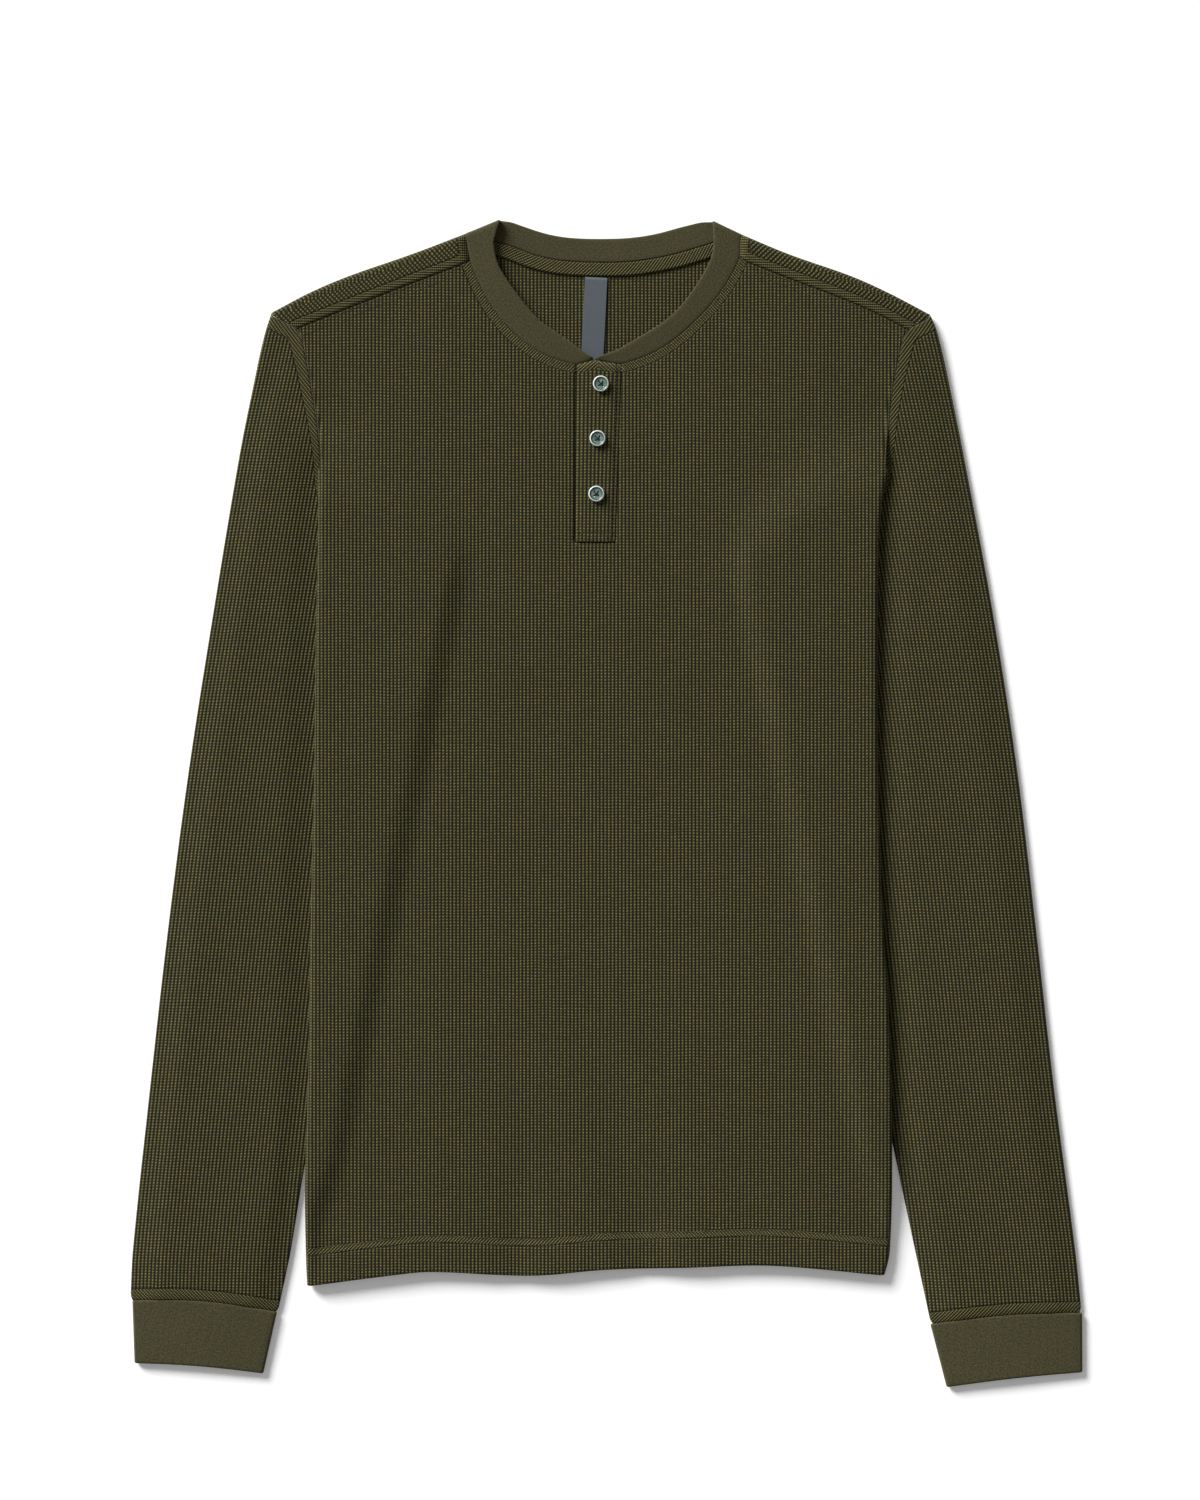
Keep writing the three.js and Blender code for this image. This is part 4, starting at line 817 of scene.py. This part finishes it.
def make_collar():
    shares = np.array([0, 0.01, 0.03, 0.07, 0.2, 0.35, 0.5, 0.65, 0.8, 0.93, 0.97, 0.99, 1])
    stations = collar_stations()
    grid = np.array([[np.concatenate(station(s)) for s in shares] for station in stations])
    middle = grid[..., :3]
    chord = run_along(*middle[:, len(shares) // 2].T)
    fine = spread(list(chord), 3.0)
    grid = np.stack([np.stack([hermite(chord, grid[:, i, c], fine) for c in range(6)], -1)
                     for i in range(len(shares))], 1)
    middle, normal = grid[..., :3], grid[..., 3:]
    normal /= np.linalg.norm(normal, axis=-1, keepdims=True)
    width = np.linalg.norm(middle[:, -1] - middle[:, 0], axis=-1)
    from_end = np.minimum(shares[None, :], 1 - shares[None, :]) * width[:, None]
    half = RIB / 2 * fold_profile(from_end, RIB)[..., None]
    uv = np.stack(np.broadcast_arrays(fine[:, None], shares[None, :] * 20), -1)
    return wall("neck_band", middle + normal * half, middle - normal * half, uv)


# Placket, tape and label

def placket_top_y(x):
    def height(side):
        tip, neck = side["tip"], side["neck"]
        return lerp(tip[1], neck["y"][0], (x - tip[0]) / (neck["x"][0] - tip[0]))
    return np.where(x < LEFT["tip"][0], height(LEFT), height(RIGHT)) - 2 * SEAM


def make_placket(name, drop):
    half = PLACKET_WIDTH / 2 - PLACKET_GAP
    near = np.array([0, 0.2, 0.5, 0.9])
    across = np.r_[near - half, np.linspace(-11, 11, 12), half - near[::-1]][None, :]
    share = np.r_[0, 0.0015, 0.004, 0.008, np.linspace(0.03, 1, 36)][:, None]
    foot = PLACKET_FOOT_Y + SEAM
    top = placket_top_y(placket_x(PLACKET_FOOT_Y + PLACKET_HEIGHT) + across)
    y = lerp(foot, top, share)
    x = placket_x(y) + across * (1 + PLACKET_FLARE / PLACKET_WIDTH * (y - PLACKET_FOOT_Y) / PLACKET_HEIGHT)
    z = front_height(x, y) + lerp(0.05, PLACKET_RISE, smooth((half - abs(across)) / 5)) - drop
    upper, lower = xyz(x, y, z), xyz(x, y, z - PLACKET_THICK)
    edge = np.minimum(half - abs(across) + 0 * share, y - foot)
    upper, lower = squeeze(upper, lower, fold_profile(edge * 2.5, PLACKET_THICK))
    right = half - across + 0 * share
    grain = np.stack([across + 0 * y, y], -1)
    return wall(name, upper, lower, grain, right=right, foot=y - foot, top=top - y)


TAPE_THICK = 0.8
TAPE_OFFSETS = np.array([9.3, 9.1, 8.6, 7.5, 6, 4.5, 3, 1.5, 0.7, 0.3])  # from the neck seam


def make_tape():
    x, y = back_neck(np.linspace(0.07, 0.93, 65))
    dx, dy = np.gradient(x), np.gradient(y)
    length = np.hypot(dx, dy)
    run = run_along(x, y)
    offsets = TAPE_OFFSETS[:, None]
    x, y = x + dy / length * offsets, y - dx / length * offsets
    from_edge = np.minimum(offsets - TAPE_OFFSETS[-1], TAPE_OFFSETS[0] - offsets)
    profile = fold_profile(from_edge, TAPE_THICK) + 0 * x
    upper, lower = squeeze(xyz(x, y, PLY + TAPE_THICK), xyz(x, y, PLY), profile)
    grain = np.stack(np.broadcast_arrays(run, offsets), -1)
    return wall("back_neck_tape", upper, lower, grain, across=offsets + 0 * x)


LABEL = {"width": 14.9, "length": 56.8, "thick": 0.6, "top": (-6.2, 350.2), "end": (-9, 293.5)}


def make_label():
    top, end = np.array(LABEL["top"]), np.array(LABEL["end"])
    along = (top - end) / np.hypot(*(top - end))
    across = np.array([along[1], -along[0]])
    share = np.linspace(0, 1, 30)
    offset = np.array([-0.5, -0.49, -0.3, 0, 0.3, 0.49, 0.5]) * LABEL["width"]
    points = lerp(end, top, share[:, None])[:, None, :] + across * offset[None, :, None]
    z = PLY + 0.25 * np.sin(math.pi * share)[:, None] * np.ones(len(offset))
    x, y = points[..., 0], points[..., 1]
    upper, lower = xyz(x, y, z + LABEL["thick"]), xyz(x, y, z)
    grain = np.stack(np.broadcast_arrays(offset, share[:, None] * LABEL["length"]), -1)
    return wall("blank_label", upper, lower, grain)


# Buttons and threads

BUTTON_PROFILE = [
    (0, 0), (4.4, 0), (4.9, 0.15), (5.2, 0.5), (5.3, 1.0), (5.3, 1.6), (5.2, 2.05), (4.95, 2.32),
    (4.65, 2.4), (4.4, 2.36), (4.2, 2.15), (4.05, 1.85), (3.9, 1.66), (3.6, 1.6), (2.6, 1.55), (0, 1.5)]
BUTTON_SIDES = 72
HOLE_PLACE = 1.25
HOLE_RADIUS = 0.6


def button_seat(x, y):
    return float(front_height(np.array(x), np.array(y))) + PLACKET_RISE + SEAM


def lathe(profile, sides):
    """Points, faces and each point's radius, of a profile of (radius, height) turned about +Z."""
    points, faces, radii = [], [], []
    for r, z in profile:
        for i in range(sides if r > 0 else 1):
            angle = math.tau * i / sides
            points.append((r * math.cos(angle), r * math.sin(angle), z))
            radii.append(r)
    starts = np.cumsum([0] + [sides if r > 0 else 1 for r, _ in profile])
    for n in range(len(profile) - 1):
        a, b = starts[n], starts[n + 1]
        for i in range(sides):
            j = (i + 1) % sides
            if profile[n][0] == 0:
                faces.append((a, b + j, b + i))
            elif profile[n + 1][0] == 0:
                faces.append((a + i, a + j, b))
            else:
                faces.append((a + i, a + j, b + j, b + i))
    return np.array(points), [tuple(int(v) for v in f) for f in faces], np.array(radii)


def make_button(name, x, y):
    points, faces, radii = lathe(BUTTON_PROFILE, BUTTON_SIDES)
    seat = (x, y, button_seat(x, y))
    grain = np.stack([radii, 0 * radii], -1)
    button = new_piece(name.replace("_", "."), points + seat, faces, grain)
    drills = []
    for dx, dy in ((1, 1), (1, -1), (-1, -1), (-1, 1)):
        pin, pin_faces, _ = lathe([(0, -1), (HOLE_RADIUS, -1), (HOLE_RADIUS, 4), (0, 4)], 20)
        place = np.array(seat) + (dx * HOLE_PLACE, dy * HOLE_PLACE, 0)
        drill = new_piece("drill", pin + place, pin_faces, np.zeros((len(pin), 2)))
        cut = button.modifiers.new("hole", "BOOLEAN")
        cut.operation, cut.object, cut.solver = "DIFFERENCE", drill, "EXACT"
        drills.append(drill)
    done = bpy.data.meshes.new_from_object(button.evaluated_get(bpy.context.evaluated_depsgraph_get()))
    button.modifiers.clear()
    button.data = done
    for drill in drills:
        bpy.data.objects.remove(drill)
    return button


def tubes(name, paths, radius, sides=6):
    """Round threads along several paths, as one piece."""
    points, faces, grain = [], [], []
    for path in paths:
        path = np.asarray(path, float)
        way = np.gradient(path, axis=0)
        way /= np.linalg.norm(way, axis=1, keepdims=True)
        across = np.cross(way, (0, 0, 1.0))
        across /= np.linalg.norm(across, axis=1, keepdims=True)
        up = np.cross(across, way)
        first = len(points)
        thin = np.ones(len(path))
        thin[[0, -1]] = 0.55
        for p, a, b, t, n in zip(path, across, up, thin, range(len(path))):
            for i in range(sides):
                angle = math.tau * i / sides
                points.append(p + (a * math.cos(angle) + b * math.sin(angle)) * radius * t)
                grain.append((i * 0.3, n * 0.5))
        for n in range(len(path) - 1):
            for i in range(sides):
                a, b = first + n * sides + i, first + n * sides + (i + 1) % sides
                faces.append((a, b, b + sides, a + sides))
        last = first + (len(path) - 1) * sides
        faces += [tuple(range(first, first + sides)), tuple(range(last, last + sides))[::-1]]
    return new_piece(name, points, faces, grain)


def button_threads():
    """Two crossed bundles of thread through the holes of each button."""
    paths = []
    for x, y in BUTTONS.values():
        base = button_seat(x, y)
        for way in (1, -1):
            for beside in (-0.28, 0, 0.28):
                share = np.linspace(-1, 1, 9)
                along = share * HOLE_PLACE
                z = base + 1.72 - 0.5 * share ** 8 + (0.22 if way > 0 else 0) - 0.15 * abs(beside)
                offset = beside * (1 - 0.5 * abs(share))
                path = [x + along - offset * way * 0.7, y + way * along + offset * 0.7, z]
                paths.append(np.stack(path, -1))
    return tubes("button.threads", paths, 0.17)


def stitches(line, height, length=2.1, gap=0.7, sink=0.12):
    """Separate stitches along a line in the plane, lying on a surface whose height is given."""
    line = np.asarray(line, float)
    run = run_along(*line.T)
    found = []
    for start in np.arange(gap / 2, run[-1] - length, length + gap):
        at = start + np.array([0, 0.12, 0.5, 0.88, 1]) * length
        x, y = np.interp(at, run, line[:, 0]), np.interp(at, run, line[:, 1])
        z = height(x, y) - sink + np.array([-0.3, 0.08, 0.16, 0.08, -0.3])
        found.append(np.stack([x, y, z], -1))
    return found


def offset_line(line, distance):
    """A line beside another one, to its left."""
    line = np.asarray(line, float)
    way = np.gradient(line, axis=0)
    way /= np.linalg.norm(way, axis=1, keepdims=True)
    return line + np.stack([-way[:, 1], way[:, 0]], -1) * distance


def seam_threads():
    """The stitch lines of the neck, shoulders, hem and placket, as separate stitches on the cloth."""
    paths = []
    for side, way in zip(SIDES, (1, -1)):
        fine = np.linspace(0, 8, 120)
        neck = np.stack(along_rows(side["neck"], "x y", fine), -1)
        for distance in (1.4, NECK_BAND - 0.5):
            paths += stitches(offset_line(neck, way * distance), front_height)
        seam = np.stack(front_end(side, np.linspace(EDGE_LINE + 0.2, CORNER_LINE - 0.1, 80)), -1)
        for distance in (1.3, SHOULDER_BAND - 0.5):
            paths += stitches(offset_line(seam, -way * distance), front_height)
        x = np.linspace(placket_x(HEM_Y), edge_x(side, HEM_Y) - side["sign"] * 2, 120)
        for rise in HEM_STITCHES:
            y = hem_y(x) + rise * (PLACKET_FOOT_Y - hem_y(x)) / LOW_HEIGHT
            paths += stitches(np.stack([x, y], -1), front_height)

    def on_placket(x, y):
        return front_height(x, y) + PLACKET_RISE

    y = np.linspace(PLACKET_FOOT_Y + 1, 290, 60)
    edge = placket_x(y) + (PLACKET_WIDTH + PLACKET_FLARE * (y - PLACKET_FOOT_Y) / PLACKET_HEIGHT) / 2
    for inset in (0.9, 3.1):
        paths += stitches(np.stack([edge - inset, y], -1), on_placket)
    middle = placket_x(PLACKET_FOOT_Y)
    for rise in (1.0, 6.9):
        x = np.linspace(middle - 12.6, middle + 12.6, 20)
        paths += stitches(np.stack([x, x * 0 + PLACKET_FOOT_Y + rise], -1), on_placket)
    return tubes("seam.threads", paths, 0.2, 5)


# Materials

class Value:
    """A socket of a shader tree that takes part in sums."""

    def __init__(self, tree, socket):
        self.tree, self.socket = tree, socket

    def op(self, name, *others):
        node = self.tree.nodes.new("ShaderNodeMath")
        node.operation = name
        for socket, value in zip(node.inputs, (self, *others)):
            put(self.tree, socket, value)
        return Value(self.tree, node.outputs[0])

    def __add__(self, other): return self.op("ADD", other)
    def __sub__(self, other): return self.op("SUBTRACT", other)
    def __mul__(self, other): return self.op("MULTIPLY", other)
    def __truediv__(self, other): return self.op("DIVIDE", other)
    __radd__ = __add__
    __rmul__ = __mul__

    def __rsub__(self, other):
        return (self * -1) + other

    def wave(self):
        """From 0 to 1 and back over each whole number, 1 at whole numbers."""
        return (self * math.tau).op("COSINE") * 0.5 + 0.5

    def ramp(self, low, high):
        """0 below low, 1 above high, smooth between."""
        node = self.tree.nodes.new("ShaderNodeMapRange")
        node.interpolation_type = "SMOOTHSTEP"
        put(self.tree, node.inputs["Value"], self)
        node.inputs["From Min"].default_value = low
        node.inputs["From Max"].default_value = high
        return Value(self.tree, node.outputs["Result"])

    def line(self, at, half):
        """1 at a value, down to 0 at half either side."""
        return 1 - (self - at).op("ABSOLUTE").ramp(0, half)


def put(tree, socket, value):
    if isinstance(value, Value):
        tree.links.new(value.socket, socket)
    else:
        socket.default_value = value


def srgb(*levels):
    """A colour from its sRGB levels of 0 to 255."""
    linear = [((v / 255 + 0.055) / 1.055) ** 2.4 if v > 10 else v / 255 / 12.92 for v in levels]
    return (*linear, 1.0)


class Cloth:
    """A material under construction, with its grain in millimetres."""

    def __init__(self, name, roughness, sheen=0.0):
        self.material = bpy.data.materials.new(name)
        self.material.use_nodes = True
        self.tree = self.material.node_tree
        self.shader = self.tree.nodes["Principled BSDF"]
        self.shader.inputs["Roughness"].default_value = roughness
        self.shader.inputs["Specular IOR Level"].default_value = 0.15
        self.shader.inputs["Sheen Weight"].default_value = sheen
        self.shader.inputs["Sheen Roughness"].default_value = 0.5
        grain = self.tree.nodes.new("ShaderNodeUVMap")
        grain.uv_map = "grain"
        split = self.tree.nodes.new("ShaderNodeSeparateXYZ")
        self.tree.links.new(grain.outputs[0], split.inputs[0])
        self.u = Value(self.tree, split.outputs[0]) * 1000
        self.v = Value(self.tree, split.outputs[1]) * 1000

    def place(self):
        """The place along +X and +Y on the object, in millimetres."""
        place = self.tree.nodes.new("ShaderNodeTexCoord")
        split = self.tree.nodes.new("ShaderNodeSeparateXYZ")
        self.tree.links.new(place.outputs["Object"], split.inputs[0])
        return [Value(self.tree, split.outputs[axis]) * 1000 for axis in (0, 1)]

    def attribute(self, name):
        node = self.tree.nodes.new("ShaderNodeAttribute")
        node.attribute_name = name
        return Value(self.tree, node.outputs["Fac"])

    def point(self, x, y):
        node = self.tree.nodes.new("ShaderNodeCombineXYZ")
        put(self.tree, node.inputs[0], x)
        put(self.tree, node.inputs[1], y)
        return node.outputs[0]

    def noise(self, x, y, scale, detail=2.0):
        """Soft noise from 0 to 1 with features about 1 / scale wide."""
        node = self.tree.nodes.new("ShaderNodeTexNoise")
        node.inputs["Scale"].default_value = scale
        node.inputs["Detail"].default_value = detail
        self.tree.links.new(self.point(x, y), node.inputs["Vector"])
        return Value(self.tree, node.outputs["Fac"])

    def random(self, x, y):
        node = self.tree.nodes.new("ShaderNodeTexWhiteNoise")
        node.noise_dimensions = "2D"
        self.tree.links.new(self.point(x, y), node.inputs["Vector"])
        return Value(self.tree, node.outputs["Value"])

    def mix(self, share, a, b):
        node = self.tree.nodes.new("ShaderNodeMix")
        node.data_type = "RGBA"
        put(self.tree, node.inputs["Factor"], share)
        for socket, value in ((node.inputs[6], a), (node.inputs[7], b)):
            if isinstance(value, tuple):
                socket.default_value = value
            else:
                self.tree.links.new(value, socket)
        return node.outputs[2]

    def scale(self, colour, share):
        """A colour made lighter or darker by a share."""
        node = self.tree.nodes.new("ShaderNodeVectorMath")
        node.operation = "SCALE"
        self.tree.links.new(colour, node.inputs[0])
        put(self.tree, node.inputs["Scale"], share)
        return node.outputs[0]

    def finish(self, colour, height, distance):
        """Ends the material with its colour and its relief, height times distance millimetres."""
        self.tree.links.new(colour, self.shader.inputs["Base Color"])
        bump = self.tree.nodes.new("ShaderNodeBump")
        bump.inputs["Distance"].default_value = distance * MM
        put(self.tree, bump.inputs["Height"], height)
        self.tree.links.new(bump.outputs[0], self.shader.inputs["Normal"])
        return self.material


WALE = 2.45  # pitch of the waffle's columns
COURSE = 1.97  # pitch of its rows
# Painted shade: the waffle's pits are coloured much darker than the yarn, as where shade falls in them
PAINTED_PIT_SHADE = srgb(19, 17, 9)
GROUND = srgb(57, 54, 32)
# The knobs' hues, a random yarn hue for each cell, set much lighter than the ground as a painted highlight
GREENISH = srgb(106, 110, 62)
YELLOWISH = srgb(123, 111, 56)
GREYISH = srgb(113, 111, 78)


def waffle_cells(cloth, u, v):
    """The waffle's ridges and its knobs on them, each from 0 to 1, and two random numbers for each cell."""
    column = u / WALE
    row = v / COURSE + cloth.noise(u, v, 0.06, 1.0) * 0.8
    number, row_number = (column + 0.5).op("FLOOR"), (row + 0.5).op("FLOOR")
    dice = cloth.random(number, row_number)
    return column.wave(), row.wave(), dice, cloth.random(row_number, number + 0.5)


def waffle(name, lines):
    """Waffle knit. lines(cloth) gives where its seams' bands and stitch lines are: a band, and a groove, which
    is sunk in the relief and painted darker as shade.
    """
    cloth = Cloth(name, 0.9, 0.05)
    band, groove = lines(cloth)
    away = cloth.u.op("ABSOLUTE")
    straight = waffle_cells(cloth, cloth.u, cloth.v)
    slanted = waffle_cells(cloth, (away + cloth.v) * 1.05, (cloth.v - away) * 1.05)
    ridge, rung, dice, hue = (a * (1 - band) + b * band for a, b in zip(straight, slanted))
    height = ridge * (rung * 0.6 + 0.4)
    fuzz = cloth.noise(cloth.u, cloth.v, 1.6, 3.0)
    patch = cloth.noise(cloth.u, cloth.v, 0.02, 2.0)
    # The knobs' tops: random yarn hue, painted lighter than the ground as a painted highlight where the relief
    # is high
    knob_hue_and_highlight = cloth.mix(hue.ramp(0.2, 0.8), GREENISH, YELLOWISH)
    knob_hue_and_highlight = cloth.mix(hue.line(0.5, 0.14), knob_hue_and_highlight, GREYISH)
    # Painted shade: the colour goes darker where the relief is low, in the waffle's pits
    colour = cloth.mix((ridge + rung * 0.12).ramp(0.0, 0.75), PAINTED_PIT_SHADE, GROUND)
    colour = cloth.mix((ridge * rung).ramp(0.2, 0.9) * (dice * 0.5 + 0.5), colour, knob_hue_and_highlight)
    # Painted shade: the colour is darker along the grooves of the seams and stitch lines
    tone = (fuzz * 0.3 + 0.85) * (patch * 0.16 + 0.92) * (1 - groove * 0.45) * (band * 0.3 + 1)
    colour = cloth.scale(colour, tone)
    return cloth.finish(colour, height + fuzz * 0.15 - groove * 0.9, 0.5)


def body_lines_of(cloth):
    band_at, hem_at = (cloth.attribute(name) for name in ("band", "hem"))
    band = 1 - band_at.ramp(0.9, 1.05)
    edge = band_at.line(1.0, 0.13)
    seam = 1 - band_at.ramp(0.0, 0.12)
    hem = hem_at.line(HEM_GROOVES[0], 0.9).op("MAXIMUM", hem_at.line(HEM_GROOVES[1], 0.6) * 0.4)
    groove = edge.op("MAXIMUM", seam * 0.8).op("MAXIMUM", hem)
    return band.op("MAXIMUM", 1 - (hem_at - HEM_BAND).op("ABSOLUTE").ramp(2.0, 2.6)), groove


def placket_lines(cloth):
    right, foot = (cloth.attribute(name) for name in ("right", "foot"))
    groove = right.line(2.8, 0.6).op("MAXIMUM", foot.line(6.4, 0.6)).op("MAXIMUM", foot.line(0.6, 0.6))
    top = cloth.attribute("top")
    groove = groove.op("MAXIMUM", top.line(6.2, 0.5) * 0.6)
    return 1 - top.ramp(5.6, 6.4), groove


def tape_lines(cloth):
    across = cloth.attribute("across")
    return across * 0 + 1, across.line(9.0, 0.6).op("MAXIMUM", across.line(0.6, 0.6))


def jersey(name):
    """Fine plain knit of the bands."""
    cloth = Cloth(name, 0.85, 0.1)
    wale, course = cloth.u / 0.75, cloth.v / 0.55
    height = wale.wave() * (course.wave() * 0.4 + 0.6)
    fuzz = cloth.noise(cloth.u, cloth.v, 0.9, 5.0)
    patch = cloth.noise(cloth.u, cloth.v, 0.04, 2.0)
    # Darker in the knit's low places between the wales, which is painted shade, and at random with the fuzz
    colour = cloth.mix((height * 0.3 + fuzz * 0.7).ramp(0.25, 0.65), srgb(36, 33, 19), srgb(79, 75, 48))
    colour = cloth.scale(colour, patch * 0.14 + 0.93)
    return cloth.finish(colour, height * 0.35 + fuzz * 0.9, 0.2)


def label_weave():
    cloth = Cloth("woven label", 0.6, 0.0)
    rib = (cloth.v / 0.45).wave() * ((cloth.u / 0.35).wave() * 0.5 + 0.5)
    fuzz = cloth.noise(cloth.u, cloth.v, 1.5, 2.0)
    colour = cloth.mix(rib * 0.4 + fuzz * 0.6, srgb(70, 76, 81), srgb(94, 101, 106))
    return cloth.finish(colour, rib, 0.08)


def button_finish():
    """Pearly grey-green with a pale rim, by the distance from the button's middle."""
    cloth = Cloth("button plastic", 0.28)
    cloth.shader.inputs["Specular IOR Level"].default_value = 0.5
    cloth.shader.inputs["Coat Weight"].default_value = 0.4
    radius = cloth.u
    cloud = cloth.noise(*cloth.place(), 0.5, 3.0)
    middle = cloth.mix(cloud.ramp(0.3, 0.7), srgb(80, 104, 95), srgb(118, 142, 131))
    ring = cloth.mix(radius.ramp(3.3, 3.7), middle, srgb(70, 82, 78))
    colour = cloth.mix(radius.ramp(4.35, 4.6), ring, srgb(198, 205, 203))
    return cloth.finish(colour, cloud, 0.02)


def thread(name, colour):
    """Twisted sewing thread."""
    cloth = Cloth(name, 0.7, 0.1)
    twist = (cloth.v * 2 + cloth.u).wave()
    # Painted shade: the thread is darker between the turns of its twist, where the relief is low
    dark = tuple(0.75 * v for v in colour)
    return cloth.finish(cloth.mix(twist, srgb(*dark), srgb(*colour)), twist, 0.05)


def floor_finish():
    """A pale studio floor, lit a little from within."""
    material = bpy.data.materials.new("floor")
    material.use_nodes = True
    shader = material.node_tree.nodes["Principled BSDF"]
    shader.inputs["Base Color"].default_value = srgb(250, 250, 250)
    shader.inputs["Roughness"].default_value = 0.9
    shader.inputs["Emission Color"].default_value = (1, 1, 1, 1)
    shader.inputs["Emission Strength"].default_value = 0.12
    return material


def dress(piece, material, slot_name, *nodes):
    piece.data.materials.append(material)
    if nodes:
        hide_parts(*nodes)
    return piece


body_waffle = waffle("waffle knit", body_lines_of)
placket_waffle = waffle("placket waffle", placket_lines)
tape_waffle = waffle("tape waffle", tape_lines)
band_jersey = jersey("band jersey")

front = dress(make_front(), body_waffle, "waffle_knit", "front_panel")
back = dress(make_back(), body_waffle, "waffle_knit", "back_panel")
sleeves = [dress(make_sleeve(side), body_waffle, "waffle_knit", f"sleeve_{side['name']}") for side in SIDES]
cuffs = [dress(make_cuff(side), band_jersey, "smooth_band", f"cuff_{side['name']}") for side in SIDES]
collar = dress(make_collar(), band_jersey, "smooth_band", "collar")
placket_outer = dress(make_placket("placket.outer", 0), placket_waffle, "waffle_knit", "placket_outer")
placket_under = dress(make_placket("placket.under", PLACKET_THICK + GAP), placket_waffle, "waffle_knit",
                      "placket_under")
tape = dress(make_tape(), tape_waffle, "waffle_knit", "neck_tape")
label = dress(make_label(), label_weave(), "woven_label", "neck_label")
button_plastic = button_finish()
for name, (x, y) in BUTTONS.items():
    dress(make_button(name, x, y), button_plastic, "button", name)
dress(button_threads(), thread("button thread", (44, 42, 32)), "waffle_knit")
dress(seam_threads(), thread("seam thread", (66, 63, 43)), "waffle_knit")


# Camera, light and floor
VIEW_CENTRE = (-3.67, 35.33)
VIEW_HEIGHT = 1000
LENS = 135
camera = bpy.data.objects.new("camera", bpy.data.cameras.new("camera"))
camera.data.sensor_width = 36
camera.data.lens = LENS
camera.location = (VIEW_CENTRE[0] * MM, VIEW_CENTRE[1] * MM, VIEW_HEIGHT * MM * LENS / 36)
bpy.context.scene.collection.objects.link(camera)
bpy.context.scene.camera = camera


def sun(name, azimuth, elevation, strength, size):
    """A sun from an azimuth counted from +X towards +Y, in degrees, and size its width in the sky."""
    light = bpy.data.lights.new(name, "SUN")
    light.energy = strength
    light.angle = math.radians(size)
    lamp = bpy.data.objects.new(name, light)
    lamp.rotation_euler = (0, math.radians(90 - elevation), math.radians(azimuth))
    bpy.context.scene.collection.objects.link(lamp)


sun("key", 132, 23, 6.8, 30)
world = bpy.data.worlds.new("studio")
world.use_nodes = True
world.node_tree.nodes["Background"].inputs["Color"].default_value = (1, 1, 1, 1)
world.node_tree.nodes["Background"].inputs["Strength"].default_value = 0.26
bpy.context.scene.world = world
bpy.context.scene.view_settings.view_transform = "Standard"

floor_mesh = bpy.data.meshes.new("floor")
FLOOR_REACH = 8
FLOOR_Z = -0.0005
floor_corners = [(x * FLOOR_REACH, y * FLOOR_REACH, FLOOR_Z) for x, y in ((-1, -1), (1, -1), (1, 1), (-1, 1))]
floor_mesh.from_pydata(floor_corners, [], [(0, 1, 2, 3)])
floor = bpy.data.objects.new("floor", floor_mesh)
floor_mesh.materials.append(floor_finish())
bpy.context.scene.collection.objects.link(floor)

bpy.context.view_layer.update()
